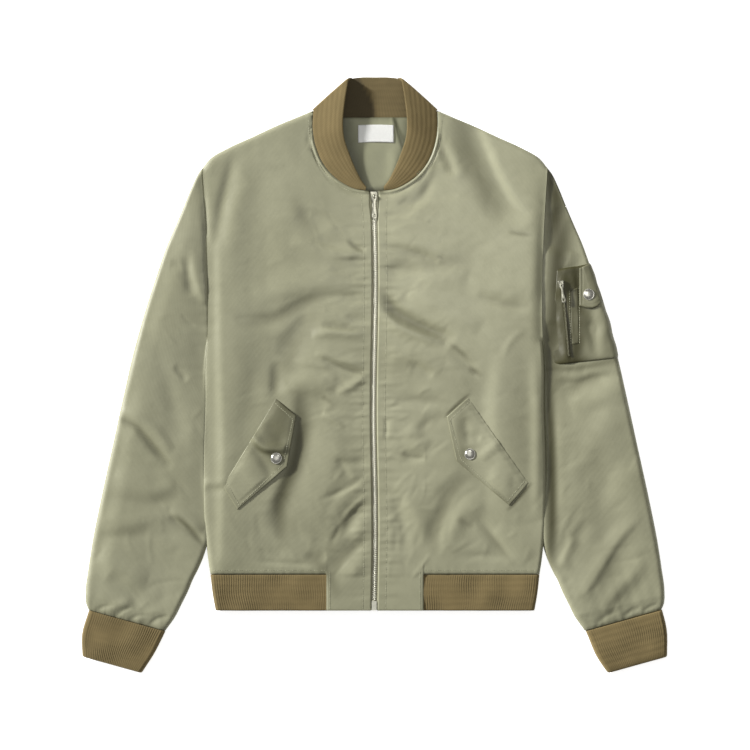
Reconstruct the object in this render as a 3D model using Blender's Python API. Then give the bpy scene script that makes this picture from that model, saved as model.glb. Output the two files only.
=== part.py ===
"""Bomber jacket laid flat on its back, front up, zipped to the neck with its sleeves down beside the body.

The back panel lies on the ground at z = 0 and every other piece lies on it or beside it. +Y points to the
collar, +X to the wearer's left, +Z up. Tables and sizes are in millimetres; meshes are built in metres.
The two halves share their tables: SIDES runs over the wearer's right (-1) and left (+1).
"""

from collections import namedtuple

import bmesh
import bpy
import numpy as np
from mathutils.bvhtree import BVHTree

MM = 0.001
SIDES = (("right", -1), ("left", 1))

# ---------------------------------------------------------------- thicknesses and levels
WALL = 3.0  # padded nylon: shell, wadding and lining
RIB_WALL = 2.8  # doubled rib knit
SEAM_GAP = 0.3  # between pieces that are sewn together
PILE_GAP = 0.5  # between a piece and the cloth that it lies on
TOP = 9.6  # outer face of the front, over the ground
SIDE_SEAM = 4.6  # level of the side and shoulder seams, half way up the rounded edge
FRONT_ROUND = 7.5  # how far in from a folded edge the front starts to turn down
BACK_ROUND = 6.0
RIB_TOP = 8.9
RIB_PITCH = 3.0  # one rib of the knit
RIB_RELIEF = 0.55
HEM_TOPS = (RIB_TOP - 0.4, RIB_TOP - 0.8)  # at the seam and at the edge

# ---------------------------------------------------------------- outline of the body, wearer's left half
HEM_SEAM_Y = -263.3
HEM_Y = -311.2
TAB_X = 64.0  # the nylon runs down to the hem on each side of the zip
ZIP_TOP_Y = 243.5
NECK_FRONT = ((12.0, 243.5), (26.0, 245.6), (40.3, 252.0), (57.4, 264.9), (70.4, 282.1), (79.0, 304.0),
              (82.5, 326.4), (82.4, 349.4))
NECK_BACK = ((0.0, 339.4), (20.0, 339.4), (40.0, 339.6), (66.0, 341.6), (82.4, 349.4))
SHOULDER = ((82.4, 349.4), (105.0, 340.0), (127.6, 330.7), (162.0, 314.8), (196.3, 299.0), (218.0, 286.0),
            (227.9, 273.9))
ARMHOLE = ((227.9, 273.9), (222.6, 185.0), (221.5, 45.0))
SIDE = ((221.5, 45.0), (223.8, 10.0), (223.8, -36.0), (226.0, -122.0), (222.6, -226.0), (219.0, -255.0),
        (217.6, HEM_SEAM_Y))
HEM_SIDE = ((217.3, -263.9), (210.6, HEM_Y))

# Columns of the front run from the hem seam to the neck and the shoulder.
FRONT_HEM_X = (12, 22, 34, 48, TAB_X, 80, 97, 115)
FRONT_SHOULDER_HEM_X = (136, 157, 177, 196)
# How the rows of the front run: height at the zip, height at the side.
FRONT_RUN = ((-263.3, -263.3), (-149, -146), (-89, -82), (2, 14), (80, 92), (128, 154), (178, 214), (226, 262))
FRONT_ROWS = 34
BACK_ROWS = ((-263.3, -263.3), (-225, -225), (-172, -172), (-115, -115), (-36, -36), (10, 10), (54, 45),
             (128, 110), (205, 185), (262, 222), (312, 255))
BACK_X = (0, 22, 44, 72, 100, 132, 166, 198)

# ---------------------------------------------------------------- sleeves
SLEEVE_OUTER = ((228.3, 273.9), (233.6, 267.3), (241.6, 251.5), (254.8, 219.8), (261.4, 203.9), (274.6, 172.3),
                (291.1, 124.7), (306.2, 77.2), (319.4, 29.7), (334.0, -33.7), (347.8, -97.0), (361.7, -160.4),
                (374.2, -223.7), (379.0, -255.4), (382.8, -285.0), (382.0, -302.9), (379.1, -310.1))
SLEEVE_INNER = ((222.4, 45.0), (224.8, 10.0), (224.8, -36.0), (227.0, -122.0), (223.6, -226.0), (227.0, -239.6),
                (233.2, -255.4), (241.2, -271.3), (247.8, -287.1), (255.7, -302.9), (263.6, -318.8), (277.5, -338.3))
Section = namedtuple("Section", "inner_y outer_y top gather")
SECTIONS = tuple(Section(*row) for row in (
    (45, 273.9, 8.6, 0), (42, 256, 9.4, 0), (38, 234, 9.6, 0), (32, 207, 9.6, 0), (24, 176, 9.6, 0),
    (14, 142, 9.6, 0), (-2, 104, 9.6, 0), (-24, 62, 9.6, 0), (-54, 18, 9.6, 0), (-88, -28, 9.6, 0),
    (-124, -76, 9.6, 0), (-162, -122, 9.6, 0), (-198, -164, 9.6, 0), (-232, -202, 9.7, 0),
    (-264, -236, 9.8, 0.2), (-294, -266, 10.3, 0.8), (-318, -290, 10.5, 1.0), (-338.3, -310.1, 8.4, 0.6)))
HALF_SECTIONS = range(2, 14)  # sections that have another one half way to the next
SLEEVE_COLUMNS = 12  # across the top, between the rounded edges
GATHERS = 4  # soft pleats where the sleeve is drawn into the cuff
GATHER_HEIGHT = 1.6

# Cuff: how far below its seam, width, shift away from the body and top level of each ring.
CuffRing = namedtuple("CuffRing", "down width lean top")
CUFF_RINGS = tuple(CuffRing(*row) for row in ((0.6, 104.4, 0.0, 8.2), (31, 99.0, 1.8, 9.4), (62, 81.0, 3.2, 7.6)))

# ---------------------------------------------------------------- collar, from the centre back to the zip
# rise is how far the band's free edge, the top, stands above its seam.
Station = namedtuple("Station", "seam_x seam_y top_x top_y rise")
COLLAR_BACK = tuple(Station(*row) for row in (
    (0, 340.2, 0, 393.9, 4.0), (40.0, 340.5, 18, 393.8, 4.0), (60.0, 343.0, 25.5, 393.0, 4.0),
    (76.6, 348.0, 29.5, 390.6, 4.0)))
COLLAR_FRONT = tuple(Station(*row) for row in (
    (77.4, 348.0, 35.5, 384.6, 6.0), (81.3, 326.4, 39.5, 361.0, 6.5), (78.0, 304.6, 42.2, 333.0, 6.5),
    (69.6, 283.0, 40.6, 312.5, 5.0), (56.8, 265.9, 34.0, 292.0, 3.5), (40.0, 253.0, 25.4, 271.5, 2.0),
    (25.8, 246.5, 17.6, 256.5, 1.0), (12.6, 244.3, 11.4, 248.6, 0.5)))
COLLAR_WALL = 2.8
COLLAR_TOP = 9.4  # outer face of the front bands
COLLAR_RIB_PITCH = 4.0
COLLAR_ROWS = (0.0, 0.6, 1.0)
TURN_STEPS = 4

# ---------------------------------------------------------------- folds: soft ridges (+) and troughs (-)
Fold = namedtuple("Fold", "x0 y0 x1 y1 height width")
BODY_FOLDS = tuple(Fold(*row) for row in (
    (-167, 73, -129, 76, -2.2, 15), (-129, 76, -87, 97, -2.2, 14), (-87, 97, -27, 104, -2.0, 13),
    (-92, 62, -116, 26, -1.8, 16), (-71, 55, -14, 48, 3.0, 14), (-191, 270, -206, 204, -2.2, 13),
    (-150, 240, -160, 150, 2.4, 20), (-206, 127, -206, 16, 2.4, 15), (-124, -135, -124, -205, -1.6, 16),
    (-59, -218, -16, -250, -2.0, 12), (-80, 150, -24, 165, 2.2, 16), (-60, -160, -20, -190, 2.2, 15),
    (8, 104, 31, 82, -2.4, 12), (31, 82, 98, 51, -2.6, 12), (105, 35, 140, 4, -2.0, 12),
    (40, 92, 108, 76, 3.4, 13), (40, 175, 105, 160, 2.6, 13), (136, 312, 197, 214, 3.4, 14),
    (131, 257, 179, 205, -2.0, 12), (155, 104, 197, 90, -1.6, 12), (30, -90, 80, -110, 2.2, 16),
    (150, 60, 205, 20, 2.2, 16), (60, -215, 130, -230, -1.6, 14), (120, -190, 190, -205, 2.0, 15)))
SLEEVE_FOLDS = tuple(Fold(*row) for row in (
    (-326, -69, -273, -112, -1.8, 11), (-330, -54, -280, -88, 2.6, 12), (-252, 160, -238, 112, 3.0, 10),
    (-341, -131, -285, -146, 2.4, 12), (-356, -184, -262, -196, 2.6, 12), (-350, -166, -285, -168, -1.6, 11),
    (-300, 60, -262, 30, 2.0, 14), (-362, -240, -290, -262, 2.2, 13),
    (252, 212, 240, 171, 3.0, 11), (345, -191, 324, -213, 3.2, 12), (324, -213, 275, -290, 3.4, 13),
    (351, -247, 306, -305, 2.6, 12), (262, -205, 252, -250, -1.6, 11), (310, -70, 262, -130, 2.6, 14),
    (330, -110, 280, -170, -1.6, 13), (345, -140, 318, -165, 2.2, 12)))

# ---------------------------------------------------------------- zip
ZIP_GAP = 3.9  # half the opening between the two edges of the front
ZIP_SPREAD = 1.7  # how much further its edges part beside the slider
TAPE_X = 17.0
TAPE_LEVEL = (4.9, 5.7)
CHAIN_LEVEL = (6.0, 8.8)
CHAIN_HALF = 3.1
SLIDER_Y = 236.0  # its bail, on the zip's line
BOX_Y = (-310.6, -298.4)
ZIP_Y_STEP = 48.0

# ---------------------------------------------------------------- pockets, flaps and snaps
Flap = namedtuple("Flap", "sewn_top sewn_low free_top tip free_low snap puff")
FLAPS = {
    "right": Flap((-130.3, -31.0), (-200.6, -146.5), (-103.9, -53.5), (-115.8, -120.8), (-181.4, -177.5),
                  (-130.3, -109.7), 0.6),
    "left": Flap((122.6, -29.7), (202.4, -143.2), (94.6, -54.8), (107.3, -112.9), (177.3, -172.3),
                 (125.0, -104.3), 1.8),
}
FLAP_WALL = 2.2
FLAP_TIP = 0.46  # where along the free edge its tip lies
FLAP_GRID = (9, 6)
SNAP_RADIUS = 7.4
SNAP_HEIGHT = 2.4
SNAP_SIDES = 20

POCKET_WALL = 1.8
POCKET_LIFT = 0.7  # between the pocket and the sleeve, at their points
POCKET_Y = (139.5, 12.4)  # top and bottom of its front edge
POCKET_FRONT_X = (240.5, 231.5)  # top and bottom
POCKET_RISE = (8.4, 11.0)  # how much higher its seams reach at the sleeve's outer edge
POCKET_GRID = (6, 9)
POCKET_FLAP_Y = (140.6, 91.0)
POCKET_FLAP_X = 269.4
POCKET_FLAP_TIP = 6.0
POCKET_SNAP = (281.6, 106.3)
PEN_SLOT = ((257.8, 111.6), (268.0, 115.6), (268.4, 41.6), (259.8, 40.0))
PEN_WALL = 1.0
POCKET_ZIP = ((245.0, 125.0), (249.6, 98.0), (252.6, 62.0), (255.6, 24.0))
POCKET_CHAIN_HALF = 2.0
POCKET_CHAIN_HEIGHT = 1.1
POCKET_SLIDER = (245.4, 119.0)
POCKET_SLIDER_TURN = 0.15  # radians, with the line of its zip
POCKET_SLIDER_SCALE = 0.8  # of the main one

# ---------------------------------------------------------------- inside the neck
LINING_WALL = 0.8
LINING_Y = (226.0, 338.8)
LINING_X = 70.0
LABEL = (1.2, 319.2, 47.0, 23.0)  # centre x and y, width, height
LABEL_WALL = 0.5

COLOURS = {
    "shell nylon": ((0.345, 0.335, 0.215), 0.42, 0.0),
    "rib knit": ((0.235, 0.175, 0.068), 0.92, 0.0),
    "lining nylon": ((0.22, 0.22, 0.15), 0.40, 0.0),
    "label satin": ((0.82, 0.82, 0.80), 0.55, 0.0),
    "zip tape": ((0.20, 0.19, 0.12), 0.85, 0.0),
    "nickel": ((0.62, 0.61, 0.58), 0.28, 1.0),
}


# ---------------------------------------------------------------- mesh tools
def material(name):
    found = bpy.data.materials.get(name)
    if found:
        return found
    colour, roughness, metallic = COLOURS[name]
    made = bpy.data.materials.new(name)
    made.use_nodes = True
    shader = made.node_tree.nodes["Principled BSDF"]
    shader.inputs["Base Color"].default_value = (*colour, 1.0)
    shader.inputs["Roughness"].default_value = roughness
    shader.inputs["Metallic"].default_value = metallic
    return made


def solid(name, points, faces, finish, smooth=True):
    """An object from points in millimetres, its faces turned outwards."""
    mesh = bpy.data.meshes.new(name)
    mesh.from_pydata([tuple(p * MM) for p in np.asarray(points, float)], [], faces)
    mesh.update()
    body = bmesh.new()
    body.from_mesh(mesh)
    if body.calc_volume(signed=True) < 0:
        bmesh.ops.reverse_faces(body, faces=body.faces)
    body.to_mesh(mesh)
    body.free()
    if smooth:
        mesh.shade_smooth()
        mesh.set_sharp_from_angle(angle=0.9)
    mesh.materials.append(material(finish))
    made = bpy.data.objects.new(name, mesh)
    bpy.context.scene.collection.objects.link(made)
    return made


def wall_faces(count, cells):
    """Faces of a closed wall between point i and point count + i, over quads of point numbers."""
    faces, edges = [], set()
    for cell in cells:
        faces.append(tuple(cell))
        faces.append(tuple(count + i for i in reversed(cell)))
        edges.update(zip(cell, tuple(cell[1:]) + tuple(cell[:1])))
    faces += [(b, a, count + a, count + b) for a, b in sorted(edges) if (b, a) not in edges]
    return faces


def wall(name, outer, inner, finish, closed=False, keep=None, smooth=True):
    """A wall between two grids of points. closed joins the last column to the first."""
    rows, columns = outer.shape[:2]
    number = np.arange(rows * columns).reshape(rows, columns)
    span = columns if closed else columns - 1
    cells = [(number[i, j], number[i, (j + 1) % columns], number[i + 1, (j + 1) % columns], number[i + 1, j])
             for i in range(rows - 1) for j in range(span) if keep is None or keep(i, j)]
    used = sorted({int(n) for cell in cells for n in cell})
    place = {n: k for k, n in enumerate(used)}
    cells = [tuple(place[int(n)] for n in cell) for cell in cells]
    points = np.concatenate([outer.reshape(-1, 3)[used], inner.reshape(-1, 3)[used]])
    return solid(name, points, wall_faces(len(used), cells), finish, smooth)


def prism(name, outline, low, high, finish):
    """An upright block with a plan outline."""
    n = len(outline)
    points = [(x, y, low) for x, y in outline] + [(x, y, high) for x, y in outline]
    faces = [tuple(range(n))[::-1], tuple(range(n, 2 * n))]
    faces += [(i, (i + 1) % n, n + (i + 1) % n, n + i) for i in range(n)]
    return solid(name, points, faces, finish, smooth=False)


def along(line, at):
    """The points of a line of straight stretches at fractions of its length."""
    line = np.asarray(line, float)
    steps = np.concatenate([[0.0], np.cumsum(np.linalg.norm(np.diff(line, axis=0), axis=1))])
    at = np.asarray(at, float) * steps[-1]
    return np.stack([np.interp(at, steps, line[:, k]) for k in range(line.shape[1])], axis=-1)


def x_at(line, y):
    """x on a line at heights y, where y falls along the line."""
    line = np.asarray(line, float)[::-1]
    return np.interp(y, line[:, 1], line[:, 0])


def inset(points, edge):
    """How far each point lies from an edge that runs clockwise, and the way out of the cloth there."""
    edge = np.asarray(edge, float)
    runs = np.diff(edge, axis=0)
    out = np.stack([-runs[:, 1], runs[:, 0]], axis=1) / np.linalg.norm(runs, axis=1)[:, None]
    ends = np.concatenate([out[:1], out[:-1] + out[1:], out[-1:]])
    ends /= np.linalg.norm(ends, axis=1)[:, None]
    best = np.full(points.shape[:-1], 1e9)
    way = np.zeros(points.shape)
    for k, run in enumerate(runs):
        t = np.clip(((points - edge[k]) @ run) / (run @ run), 0, 1)[..., None]
        far = np.linalg.norm(points - edge[k] - t * run, axis=-1)
        nearer = far < best
        best = np.where(nearer, far, best)
        way = np.where(nearer[..., None], (1 - t) * ends[k] + t * ends[k + 1], way)
    return best, way / np.linalg.norm(way, axis=-1)[..., None]


def folds(points, table):
    """Height of the soft folds at plan points. Folds that meet run into one another."""
    up, down = np.zeros(points.shape[:-1]), np.zeros(points.shape[:-1])
    for fold in table:
        start, run = np.array([fold.x0, fold.y0]), np.array([fold.x1 - fold.x0, fold.y1 - fold.y0])
        t = np.clip(((points - start) @ run) / (run @ run), 0, 1)[..., None]
        far = np.linalg.norm(points - start - t * run, axis=-1)
        height = (abs(fold.height) * np.exp(-((far / fold.width) ** 2))) ** 4
        if fold.height > 0:
            up += height
        else:
            down += height
    return up**0.25 - down**0.25


def flattened_near_flaps(points):
    """1 away from the pocket flaps, falling to 0.1 under them, where the cloth is held flat."""
    keep = np.ones(points.shape[:-1])
    for flap in FLAPS.values():
        middle = (np.array(flap.sewn_top) + flap.sewn_low + flap.free_top + flap.tip + flap.free_low) / 5
        far = np.linalg.norm((points - middle) / (62.0, 86.0), axis=-1)
        keep *= 1 - 0.9 * np.exp(-(far**4))
    return keep


def zip_x(y):
    """The zip's line, which wanders a little."""
    return -0.6 + 1.1 * np.sin((np.asarray(y, float) - 40.0) / 52.0)


def zip_edge(y, side):
    """Half-plan x of the front's edge beside the zip, which parts beside the slider."""
    y = np.asarray(y, float)
    return zip_x(y) * side + ZIP_GAP + ZIP_SPREAD * np.clip((y - 205.0) / 20.0, 0, 1)


def patch(bottom, top, left, right, u, v):
    """Plan points of a four-sided piece from its four edges."""
    u, v = u[None, :, None], v[:, None, None]
    bottom, top, left, right = bottom[None], top[None], left[:, None], right[:, None]
    sides = (1 - v) * bottom + v * top + (1 - u) * left + u * right
    return sides - ((1 - u) * (1 - v) * bottom[:, :1] + u * (1 - v) * bottom[:, -1:]
                    + (1 - u) * v * top[:, :1] + u * v * top[:, -1:])


def turned_edge(plan, edges, reach, level, rise):
    """Points and outward normals of cloth that turns to its seam along rounded edges. rise < 0 turns up."""
    far, way = inset(plan, edges[0])
    for edge in edges[1:]:
        other, other_way = inset(plan, edge)
        way = np.where((other < far)[..., None], other_way, way)
        far = np.minimum(far, other)
    cosine = np.clip(1 - far / reach, 0, 1)
    sine = np.sqrt(1 - cosine**2)
    points = np.concatenate([plan, (level + rise * sine)[..., None]], axis=-1)
    normals = np.concatenate([way * (cosine / reach)[..., None], (sine / rise)[..., None]], axis=-1)
    return points, normals / np.linalg.norm(normals, axis=-1)[..., None]


def valley(far, depth, width):
    """The dip of cloth into a seam."""
    return -depth * np.exp(-((far / width) ** 2))


# ---------------------------------------------------------------- body
EDGE_STEPS = tuple(1 - np.cos(np.radians(a)) for a in (45, 0))  # across a rounded edge, towards its seam


def front_panel(name, side):
    """One half of the front, from the zip to the side seam, with the tab that reaches the hem."""
    to_seam = FRONT_ROUND * np.array(EDGE_STEPS)
    side_x = SIDE[-1][0]
    hem_x = np.array([zip_edge(HEM_SEAM_Y, side), *FRONT_HEM_X, *FRONT_SHOULDER_HEM_X,
                      side_x - FRONT_ROUND, *(side_x - to_seam)])
    neck = np.array([(zip_edge(ZIP_TOP_Y, side), ZIP_TOP_Y), *NECK_FRONT])
    length = np.linalg.norm(np.diff(np.array(SHOULDER), axis=0), axis=1).sum()
    count = len(FRONT_SHOULDER_HEM_X)
    fractions = np.concatenate([np.linspace(0, 1, count + 2)[1:-1] * (1 - FRONT_ROUND / length),
                                1 - np.array([FRONT_ROUND, *to_seam]) / length])
    top = np.concatenate([neck, along(SHOULDER, fractions)])
    bottom = np.stack([hem_x, np.full(len(hem_x), HEM_SEAM_Y)], axis=1)
    rows = np.array([*along(FRONT_RUN, np.linspace(0, 1, FRONT_ROWS)),
                     *((ZIP_TOP_Y - d, SHOULDER[-1][1] - d) for d in (FRONT_ROUND, *to_seam))])
    left = np.stack([zip_edge(rows[:, 0], side), rows[:, 0]], axis=1)
    outline = (*ARMHOLE[:-1], *SIDE)
    right = np.stack([x_at(outline, rows[:, 1]), rows[:, 1]], axis=1)
    u = (hem_x - hem_x[0]) / (hem_x[-1] - hem_x[0])
    v = (rows[:, 0] - rows[0, 0]) / (rows[-1, 0] - rows[0, 0])
    plan = patch(bottom, top, left, right, u, v)
    tab = [np.stack([hem_x + side * (zip_x(y) - zip_x(HEM_SEAM_Y)) * (hem_x < 10), np.full(len(hem_x), y)], axis=1)
           for y in (HEM_Y, (HEM_Y + HEM_SEAM_Y) / 2)]
    plan = np.concatenate([np.array(tab), plan])

    base, normal = turned_edge(plan, (SHOULDER, SIDE), FRONT_ROUND, SIDE_SEAM + SEAM_GAP / 2,
                               TOP - SIDE_SEAM - SEAM_GAP / 2)
    actual = plan * (side, 1)
    soft = normal[..., 2] ** 2
    shape = folds(actual, BODY_FOLDS) * flattened_near_flaps(actual)
    over_tab = np.where(plan[..., 1] < HEM_SEAM_Y + 1, 0.25, 1.0)
    dips = (valley(inset(plan, ARMHOLE)[0], 1.3, 6.0) + valley(inset(plan, NECK_FRONT)[0], 0.7, 4.0)
            + valley(plan[..., 0] - ZIP_GAP, 0.6, 4.0)
            + np.where(plan[..., 0] > TAB_X + 1, valley(plan[..., 1] - HEM_SEAM_Y, 1.2, 7.0), 0))
    near_edge = 1 - np.exp(-((inset(plan, ARMHOLE)[0] / 10) ** 2)) * 0.8
    shape *= soft * near_edge * over_tab
    outer = base + normal * (shape + dips * soft)[..., None]
    inner = base - normal * WALL
    inner[..., 2] += 0.25 * np.minimum(shape, 0)
    for points in (outer, inner):
        points[..., 0] *= side
    tab_columns = FRONT_HEM_X.index(TAB_X) + 1
    return wall(name, outer, inner, "shell nylon", keep=lambda i, j: i >= len(tab) or j < tab_columns)


def back_panel():
    """The whole back, flat on the ground, turned up to the side and shoulder seams."""
    to_seam = BACK_ROUND * np.array(EDGE_STEPS)
    side_x = SIDE[-1][0]
    half = np.array([*BACK_X, side_x - BACK_ROUND, *(side_x - to_seam)])
    neck = np.array(NECK_BACK)
    length = np.linalg.norm(np.diff(np.array(SHOULDER), axis=0), axis=1).sum()
    count = len(BACK_X) - len(neck)
    fractions = np.concatenate([np.linspace(0, 1, count + 2)[1:-1] * (1 - BACK_ROUND / length),
                                1 - np.array([BACK_ROUND, *to_seam]) / length])
    half_top = np.concatenate([neck, along(SHOULDER, fractions)])
    mirror = np.array([-1.0, 1.0])
    top = np.concatenate([half_top[:0:-1] * mirror, half_top])
    hem_x = np.concatenate([-half[:0:-1], half])
    bottom = np.stack([hem_x, np.full(len(hem_x), HEM_SEAM_Y)], axis=1)
    rows = np.array([*BACK_ROWS, *((SHOULDER[-1][1] - d,) * 2 for d in (BACK_ROUND, *to_seam))])
    outline = (*ARMHOLE[:-1], *SIDE)
    right = np.stack([x_at(outline, rows[:, 1]), rows[:, 1]], axis=1)
    u = (hem_x - hem_x[0]) / (hem_x[-1] - hem_x[0])
    v = (rows[:, 1] - rows[0, 1]) / (rows[-1, 1] - rows[0, 1])
    plan = patch(bottom, top, right * mirror, right, u, v)
    half_plan = np.abs(plan) * (1, 0) + plan * (0, 1)
    base, normal = turned_edge(half_plan, (SHOULDER, SIDE), BACK_ROUND, SIDE_SEAM - SEAM_GAP / 2,
                               -(SIDE_SEAM - SEAM_GAP / 2))
    way = np.where(plan[..., 0] < 0, -1.0, 1.0)
    for points in (base, normal):
        points[..., 0] *= way
    return wall("back_panel", base, base - normal * WALL, "shell nylon")


# ---------------------------------------------------------------- tubes laid flat: sleeves and cuffs
OVER_EDGE = (0, 30, 60, 90)  # degrees round a folded edge, from its middle up to the top face


def flat_ring(width, top, thickness, reach, across, under):
    """Section of a tube laid flat, from its inner edge over the top and back underneath.

    Gives distance across and level of the outer and the inner face, and 1 on the top face.
    """
    middle = top / 2
    ring = []
    ring += [(np.radians(a), True, 0, None) for a in OVER_EDGE]
    ring += [(np.pi / 2, True, 0, f) for f in across]
    ring += [(np.radians(a), True, 1, None) for a in OVER_EDGE[::-1]]
    ring += [(np.radians(a), False, 1, None) for a in (45, 90)]
    ring += [(np.pi / 2, False, 1, f) for f in under]
    ring += [(np.radians(a), False, 0, None) for a in (90, 45)]
    rows = []
    for angle, upper, far, fraction in ring:
        sign = 1 if upper else -1
        out = reach * (1 - np.cos(angle))
        into = thickness + (reach - thickness) * (1 - np.cos(angle))
        level, deep = middle * np.sin(angle), (middle - thickness) * np.sin(angle)
        if fraction is not None:
            out = into = reach + fraction * (width - 2 * reach)
        elif far:
            out, into = width - out, width - into
        rows.append((out, middle + sign * level, into, middle + sign * deep, float(upper) * np.sin(angle) ** 2))
    return np.array(rows)


def sleeve_sections():
    """The sections of a sleeve, from the armhole to the cuff, and the plan points of their two ends."""
    table = np.array(SECTIONS)
    at = sorted([*range(len(table)), *(k + 0.5 for k in HALF_SECTIONS)])
    rows = np.stack([np.interp(at, range(len(table)), table[:, c]) for c in range(table.shape[1])], axis=1)
    inner = np.array([(x_at(SLEEVE_INNER, row[0]), row[0]) for row in rows])
    outer = np.array([(x_at(SLEEVE_OUTER, row[1]), row[1]) for row in rows])
    return at, [Section(*row) for row in rows], inner, outer


def sleeve(name, side):
    at, sections, inner_ends, outer_ends = sleeve_sections()
    across = np.arange(1, SLEEVE_COLUMNS) / SLEEVE_COLUMNS
    outside, inside = [], []
    for k, section, start, end in zip(at, sections, inner_ends, outer_ends):
        run = end - start
        width = np.linalg.norm(run)
        ring = flat_ring(width, section.top, WALL, FRONT_ROUND, across, (0.8, 0.6, 0.4, 0.2))
        bend = np.array([x_at(ARMHOLE, y) - np.interp(y, (45, 273.9), (221.5, 227.9))
                         for y in start[1] + ring[:, 0] / width * run[1]])
        bend *= max(0.0, 1 - k / 4)
        plan = start + ring[:, :1] / width * run
        plan[:, 0] += bend
        deep = start + ring[:, 2:3] / width * run
        deep[:, 0] += bend
        pleats = section.gather * GATHER_HEIGHT * (0.5 - 0.5 * np.cos(2 * np.pi * GATHERS * ring[:, 0] / width))
        shape = (folds(plan * (side, 1), SLEEVE_FOLDS) * (1 - section.gather * 0.6) + pleats) * ring[:, 4]
        shape *= 1 - 0.8 * np.exp(-((k / 1.5) ** 2))
        shape = np.maximum(shape, -1.6)
        outside.append(np.column_stack([plan, ring[:, 1] + shape]))
        inside.append(np.column_stack([deep, ring[:, 3] + 0.4 * np.minimum(shape, 0)]))
    outside, inside = np.array(outside), np.array(inside)
    for points in (outside, inside):
        points[0, :, 0] += SEAM_GAP
        points[..., 0] *= side
    return wall(name, outside, inside, "shell nylon", closed=True)


def cuff(name, side):
    ends = [np.array((x_at(line, y), y)) for line, y in ((SLEEVE_INNER, SECTIONS[-1].inner_y),
                                                         (SLEEVE_OUTER, SECTIONS[-1].outer_y))]
    seam = (ends[1] - ends[0]) / np.linalg.norm(ends[1] - ends[0])
    down = np.array([seam[1], -seam[0]])
    middle = (ends[0] + ends[1]) / 2
    ribs = round(CUFF_RINGS[0].width / RIB_PITCH)
    across = np.arange(1, 2 * ribs) / (2 * ribs)
    outside, inside = [], []
    for row in CUFF_RINGS:
        ring = flat_ring(row.width, row.top, RIB_WALL, 5.5, across, (0.75, 0.5, 0.25))
        start = middle + down * row.down + seam * (row.lean - row.width / 2)
        relief = np.zeros(len(ring))
        relief[len(OVER_EDGE):len(OVER_EDGE) + len(across)] = RIB_RELIEF * (np.arange(len(across)) % 2)
        outside.append(np.column_stack([start + ring[:, :1] * seam, ring[:, 1] + relief]))
        inside.append(np.column_stack([start + ring[:, 2:3] * seam, ring[:, 3]]))
    outside, inside = np.array(outside), np.array(inside)
    for points in (outside, inside):
        points[..., 0] *= side
    return wall(name, outside, inside, "rib knit", closed=True)


# ---------------------------------------------------------------- rib at the hem and the neck
def hem_rib():
    """One band from the tab beside the zip, round the back, to the tab on the other side."""
    ribs = round((HEM_SIDE[0][0] - TAB_X) / RIB_PITCH)
    outside, inside = [], []
    for (x, y), top in zip(HEM_SIDE, HEM_TOPS):
        ring = flat_ring(2 * x, top, RIB_WALL, 6.0, (), (0.8, 0.6, 0.4, 0.2))
        turns = ring[len(OVER_EDGE):]  # from the far edge's top, round it and back underneath
        near = ring[:len(OVER_EDGE)]
        front = np.linspace(TAB_X + SEAM_GAP, x - 6.0, 2 * ribs + 1)
        relief = RIB_RELIEF * (np.arange(len(front)) % 2)
        flat = np.full(len(front), top)
        out = [np.column_stack([front, flat + relief])[:-1],
               np.column_stack([turns[:, 0] - x, turns[:, 1]]),
               np.column_stack([near[:-1, 0] - x, near[:-1, 1]]),
               np.column_stack([-front, flat + relief])[::-1]]
        into = [np.column_stack([front, flat - RIB_WALL])[:-1],
                np.column_stack([turns[:, 2] - x, turns[:, 3]]),
                np.column_stack([near[:-1, 2] - x, near[:-1, 3]]),
                np.column_stack([-front, flat - RIB_WALL])[::-1]]
        for rows, into_rows in ((out, outside), (into, inside)):
            flat_rows = np.concatenate(rows)
            into_rows.append(np.column_stack([flat_rows[:, 0], np.full(len(flat_rows), y), flat_rows[:, 1]]))
    return wall("hem_rib", np.array(outside), np.array(inside), "rib knit")


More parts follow.
